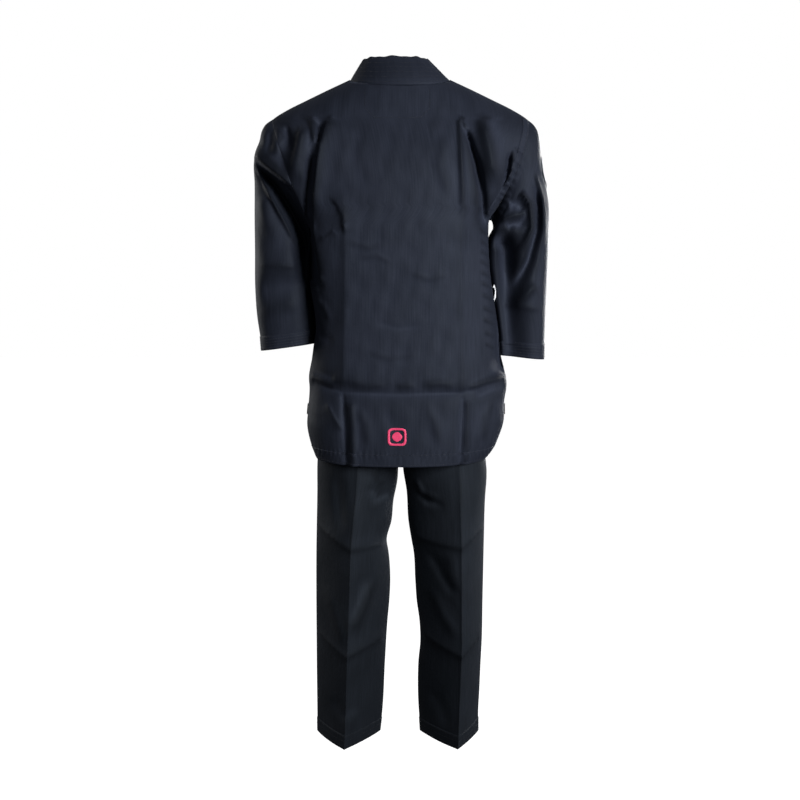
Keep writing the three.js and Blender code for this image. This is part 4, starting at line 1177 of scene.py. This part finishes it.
for which in ("outer", "inner"):
    lines = []
    for height in hem["stitchesAt"]:
        z = np.full(200, torso["hem"] + height)
        free, side = frontAngles(z, which)
        angle = free + (side - free) * np.linspace(0.01, 0.99, 200)
        x = np.where(angle > 0, halfWidth(z, 1), halfWidth(z, -1)) * np.sin(angle)
        y = torsoY(x, z, False) + (innerInset(x, z) if which == "inner" else 0)
        lines.append(ringLine(dress(x, y, z, stitch["hemLift"]), np.zeros(3)))
    piece = stitchRows(which + "HemStitches", lines, darkThread)
    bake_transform(piece)
print("stitching made")


# ---- ties ----

tieTape = {"width": 0.009, "thickness": 0.0012, "step": 0.002, "crown": 0.0002}
sideTieRoute = [
    (-0.196, 0.009, 0.036), (-0.200, 0.009, 0.034), (-0.202, 0.008, 0.028), (-0.2022, 0.007, 0.020),
    (-0.201, 0.005, 0.012), (-0.199, 0.000, 0.006), (-0.1975, -0.010, 0.004), (-0.1975, -0.024, 0.006),
    (-0.1975, -0.038, 0.010), (-0.1975, -0.054, 0.020), (-0.1975, -0.066, 0.032),
    (-0.1975, -0.080, 0.032), (-0.1975, -0.086, 0.020), (-0.1975, -0.076, 0.008),
    (-0.1975, -0.058, 0.003), (-0.1975, -0.048, -0.010), (-0.1975, -0.050, -0.042),
    (-0.1975, -0.054, -0.104),
]
frontTieRoute = [
    (-0.163, -0.088, -0.008), (-0.176, -0.082, -0.010), (-0.188, -0.076, -0.012),
    (-0.200, -0.068, -0.015), (-0.200, -0.056, -0.021), (-0.200, -0.042, -0.026),
    (-0.200, -0.028, -0.022), (-0.200, -0.024, -0.010), (-0.200, -0.036, 0.000),
    (-0.200, -0.052, -0.006), (-0.200, -0.062, -0.026), (-0.200, -0.066, -0.060),
    (-0.200, -0.068, -0.096),
]


def ribbon(name, route, facing):
    # A flat tape carried along a smooth line through the route, a little crowned. facing gives the
    # direction that its flat side looks in, as (share of length, x, y, z); its width is square to
    # both. Returns the piece, its middle line and its length.
    route = np.array(route, float)
    knots = np.arange(len(route), dtype=float)
    fine = np.linspace(0, len(route) - 1, 12 * len(route))
    line = np.stack([along(list(zip(knots, route[:, k])), fine) for k in range(3)], axis=1)
    run = np.concatenate([[0], np.cumsum(np.linalg.norm(np.diff(line, axis=0), axis=1))])
    at = np.linspace(0, run[-1], int(run[-1] / tieTape["step"]) + 1)
    line = np.stack([np.interp(at, run, line[:, k]) for k in range(3)], axis=1)
    way = np.gradient(line, axis=0)
    way /= np.linalg.norm(way, axis=1, keepdims=True)
    facing = np.array(facing, float)
    look = np.stack([np.interp(at / run[-1], facing[:, 0], facing[:, k]) for k in (1, 2, 3)], axis=1)
    look -= way * np.sum(look * way, axis=1, keepdims=True)
    look /= np.linalg.norm(look, axis=1, keepdims=True)
    across = np.cross(look, way)
    corners = []
    for side, up in ((-1, -1), (0, -1), (1, -1), (1, 1), (0, 1), (-1, 1)):
        corners.append(line + across * side * tieTape["width"] / 2
                       + look * up * (tieTape["thickness"] / 2 + tieTape["crown"] * (side == 0)))
    points = np.stack(corners, axis=1)
    rings, sides = points.shape[:2]
    ends = [list(range(sides - 1, -1, -1)), list(range((rings - 1) * sides, rings * sides))]
    faces = gridFaces(rings, sides, True, True) + ends
    return meshPiece(name, points, faces, whiteTape, False), line, float(run[-1])


for name, node, route, body, facing in (
        ("sideTie", "side_tie", sideTieRoute, "jacket",
         [(0, -0.45, 0.9, 0), (0.13, -0.6, 0.8, 0), (0.24, -1, 0.1, 0), (1, -1, 0, 0)]),
        ("frontTie", "front_tie", frontTieRoute, "outer_front",
         [(0, -0.3, -0.95, 0), (0.14, -0.8, -0.6, 0), (0.28, -1, 0, 0), (1, -1, 0, 0)])):
    piece, line, length = ribbon(name, route, facing)
    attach(piece, body)
    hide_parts(node)
    print(name, "is", round(length, 3), "m long")
print("ties made")


# ---- floor, light, camera ----

studio = {"floorHeight": -1.0, "floorSize": 30, "shown": 1.0, "ambient": 0.07, "spread": 85}
# Each softbox: name, place, the point it aims at, width and height, and watts.
softboxes = [
    ("keyBehind", (-1.35, 1.95, 0.40), (0, 0, 0.12), (1.0, 0.9), 18.5),
    ("fillBehind", (1.9, 2.2, 0.5), (0, 0, 0.0), (1.2, 1.6), 0.9),
    ("sideLeft", (2.2, -1.5, 0.5), (0, 0, 0), (1.2, 1.6), 8),
    ("sideRight", (-2.6, -0.3, 0.4), (0, 0, 0), (1.0, 1.6), 3),
    ("keyFront", (-1.3, -2.4, 0.3), (0, 0, 0.1), (1.2, 1.0), 20),
]
view = {"lens": 48.11, "sensor": 36, "place": (0, 2.2585, 0.0166), "upTilt": 90 - 5.6155}

floorMaterial = bpy.data.materials.new("studioFloor")
floorMaterial.use_nodes = True
floorShader = floorMaterial.node_tree.nodes["Principled BSDF"]
floorShader.inputs["Base Color"].default_value = (0.3, 0.3, 0.3, 1)
floorShader.inputs["Roughness"].default_value = 1
floorShader.inputs["Specular IOR Level"].default_value = 0
floorShader.inputs["Emission Color"].default_value = (1, 1, 1, 1)
floorShader.inputs["Emission Strength"].default_value = 1.0
floorEdges = np.array([-1, 1]) * studio["floorSize"] / 2
x, y = grid(floorEdges, floorEdges)
floorPoints = np.stack([x, y, np.full((2, 2), studio["floorHeight"])], axis=-1)
floor = meshPiece("studioFloor", floorPoints, [(0, 2, 3, 1)], floorMaterial, False)
# the floor is seen, but throws no light of its own up the trousers
floor.visible_diffuse = False
floor.visible_glossy = False

# The surroundings show as plain white, and light the object at the much lower ambient strength.
world = bpy.data.worlds.new("studioWorld")
world.use_nodes = True
worldNodes, worldLinks = world.node_tree.nodes, world.node_tree.links
rays = worldNodes.new("ShaderNodeLightPath")
strength = worldNodes.new("ShaderNodeMapRange")
strength.inputs["To Min"].default_value = studio["ambient"]
strength.inputs["To Max"].default_value = studio["shown"]
worldNodes["Background"].inputs["Color"].default_value = (1, 1, 1, 1)
worldLinks.new(rays.outputs["Is Camera Ray"], strength.inputs["Value"])
worldLinks.new(strength.outputs["Result"], worldNodes["Background"].inputs["Strength"])
bpy.context.scene.world = world


def softbox(name, place, aim, size, power):
    # A rectangular light at a place, turned so that its -Z looks at the aim.
    light = bpy.data.lights.new(name, "AREA")
    light.shape = "RECTANGLE"
    light.size, light.size_y = size
    light.energy = power
    light.spread = math.radians(studio["spread"])
    lamp = bpy.data.objects.new(name, light)
    bpy.context.scene.collection.objects.link(lamp)
    lamp.location = place
    lamp.rotation_euler = (Vector(aim) - Vector(place)).to_track_quat("-Z", "Y").to_euler()


for box in softboxes:
    softbox(*box)

cameraData = bpy.data.cameras.new("mainCamera")
cameraData.lens = view["lens"]
cameraData.sensor_width = view["sensor"]
camera = bpy.data.objects.new("mainCamera", cameraData)
bpy.context.scene.collection.objects.link(camera)
camera.location = view["place"]
camera.rotation_euler = (math.radians(view["upTilt"]), 0, math.pi)
bpy.context.scene.camera = camera
bpy.context.scene.view_settings.view_transform = "Standard"
print("studio set up")
